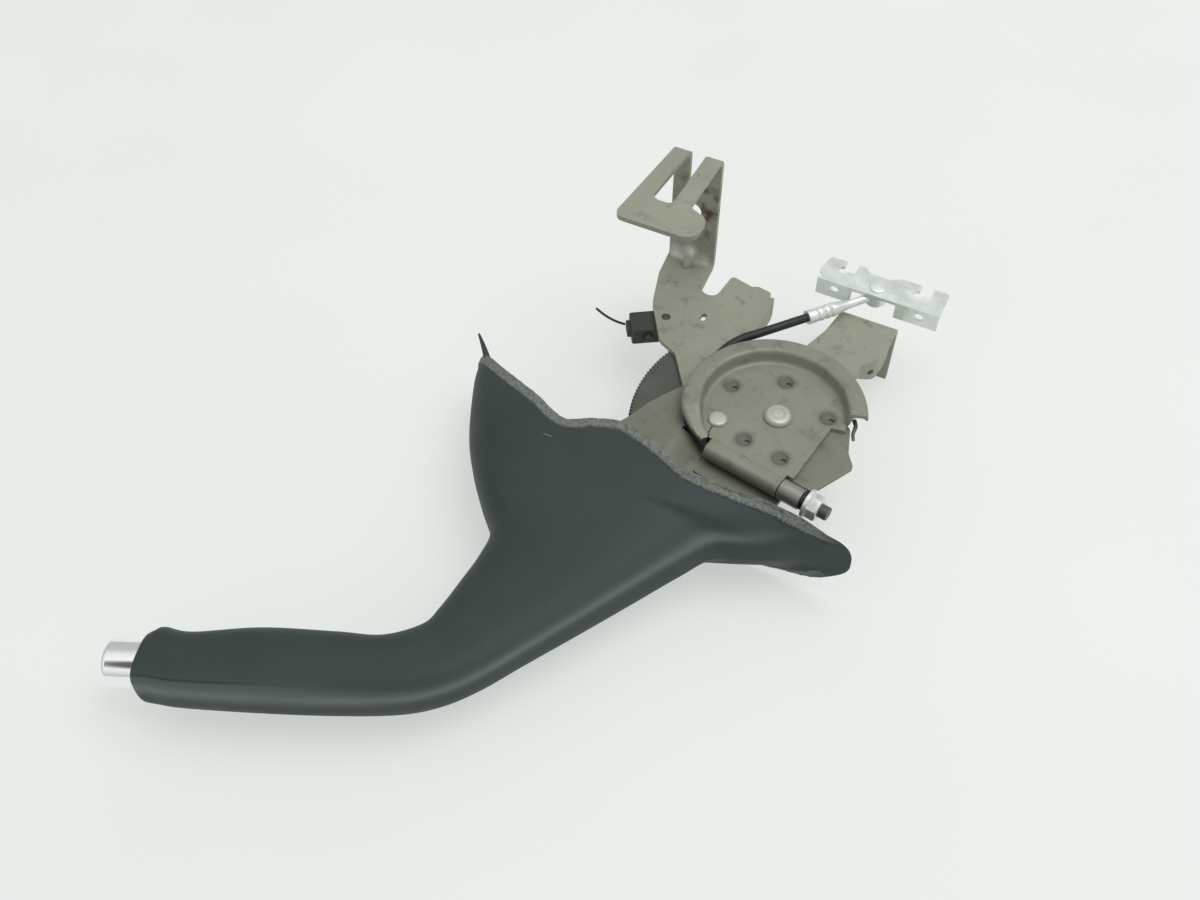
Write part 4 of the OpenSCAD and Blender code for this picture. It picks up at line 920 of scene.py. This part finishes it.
side_light_value = node_in(tree, "ShaderNodeAttribute", attribute_name="painted_side_light")
# The band below the crease gets a lighter colour: painted light on the grip's lower side
colour = mixed_colour(tree, side_light_value.outputs["Fac"], base, PAINTED_SIDE_LIGHT)
colour = mixed_colour(tree, hem_mask.outputs["Value"], colour, HEM_COLOUR)
scratch = spot_mask(tree, place(-83.6, -60.8, 22.5), radius=0.0032, stretch=(1, 7, 0.4))
colour = mixed_colour(tree, scratch, colour, SCRATCH_COLOUR)
join(tree, colour, shader.inputs["Base Color"])
shader.inputs["Specular IOR Level"].default_value = 0.3
cells = node_in(tree, "ShaderNodeTexVoronoi", {"Scale": 1150.0}, feature="SMOOTH_F1")
join(tree, coords.outputs["Object"], cells.inputs["Vector"])
worn = spot_mask(tree, place(-112, -205, 10.5), radius=0.022, stretch=(0.8, 1, 1))
leather = node_in(tree, "ShaderNodeMapRange", {"To Min": 0.16, "To Max": 0.75})
join(tree, worn, leather.inputs["Value"])
grain = node_in(tree, "ShaderNodeBump", {"Distance": 0.00025})
join(tree, leather.outputs["Result"], grain.inputs["Strength"])
join(tree, cells.outputs["Distance"], grain.inputs["Height"])
join(tree, grain.outputs["Normal"], shader.inputs["Normal"])
fit(cover, "lever", "soft_black", grip_plastic, "grip_cover")
TORN_TAB = ((-137.5, -21.5, 8.5), (-141.5, -17, 8.5), (-145.5, -12.8, 8.5), (-149, -9.3, 8.4))
torn_tab = swept("torn_tab", smooth_route([place(*at) for at in TORN_TAB], 16),
                 lambda t: (1.7 - 1.2 * t) * MM, sides=12)
fit(torn_tab, "lever", "soft_black", grip_plastic)


def flake_tree():
    group, given, result = growth("flakes", (
        ("Density", "NodeSocketFloat", 1e6), ("Size", "NodeSocketFloat", 0.0005),
        ("Seed", "NodeSocketInt", 7), ("Material", "NodeSocketMaterial", None)))
    spread = node_in(group, "GeometryNodeDistributePointsOnFaces")
    join(group, given.outputs["Geometry"], spread.inputs["Mesh"])
    join(group, given.outputs["Density"], spread.inputs["Density"])
    join(group, given.outputs["Seed"], spread.inputs["Seed"])
    chip = node_in(group, "GeometryNodeMeshIcoSphere", {"Subdivisions": 1})
    join(group, given.outputs["Size"], chip.inputs["Radius"])
    put = node_in(group, "GeometryNodeInstanceOnPoints")
    join(group, spread.outputs["Points"], put.inputs["Points"])
    join(group, chip.outputs["Mesh"], put.inputs["Instance"])
    for socket, low, high in (("Rotation", (0, 0, 0), (6.28, 6.28, 6.28)),
                              ("Scale", (0.4, 0.2, 0.4), (1.9, 0.5, 1.5))):
        chance = node_in(group, "FunctionNodeRandomValue", {0: low, 1: high}, data_type="FLOAT_VECTOR")
        join(group, given.outputs["Seed"], chance.inputs["Seed"])
        join(group, chance.outputs[0], put.inputs[socket])
    finish_growth(group, given, result, put.outputs["Instances"])
    return group


FRINGE_LOW, FRINGE_FRONT, FRINGE_REAR = 4, -48, 36
fringe = []
for i in range(len(outer) - 1):
    for k in range(AROUND):
        at = outer[i][k] - PIVOT
        if 0.05 < hem[i][k] < 0.95 and at.z > FRINGE_LOW and FRINGE_FRONT < at.x < FRINGE_REAR:
            fringe += [cover_points[v] for v in cover_faces[i * AROUND + k]]
strip = bpy.data.meshes.new("hem_fringe")
patches = [tuple(range(n, n + 4)) for n in range(0, len(fringe), 4)]
strip.from_pydata([tuple(p) for p in fringe], [], patches)
flake_plastic = metal_finish("flake_plastic", (0.2, 0.215, 0.19, 1), metallic=0.0, roughness=0.55,
                             strength=0.5, patch=300.0, grain=2000.0, bump=0.02)[0]
FLAKES = {"Density": 2.2e6, "Size": 0.00048, "Seed": 7, "Material": flake_plastic}
flakes = grown("hem_flakes", flake_tree(), strip, FLAKES)
fit(flakes, "lever", "soft_black", flake_plastic)
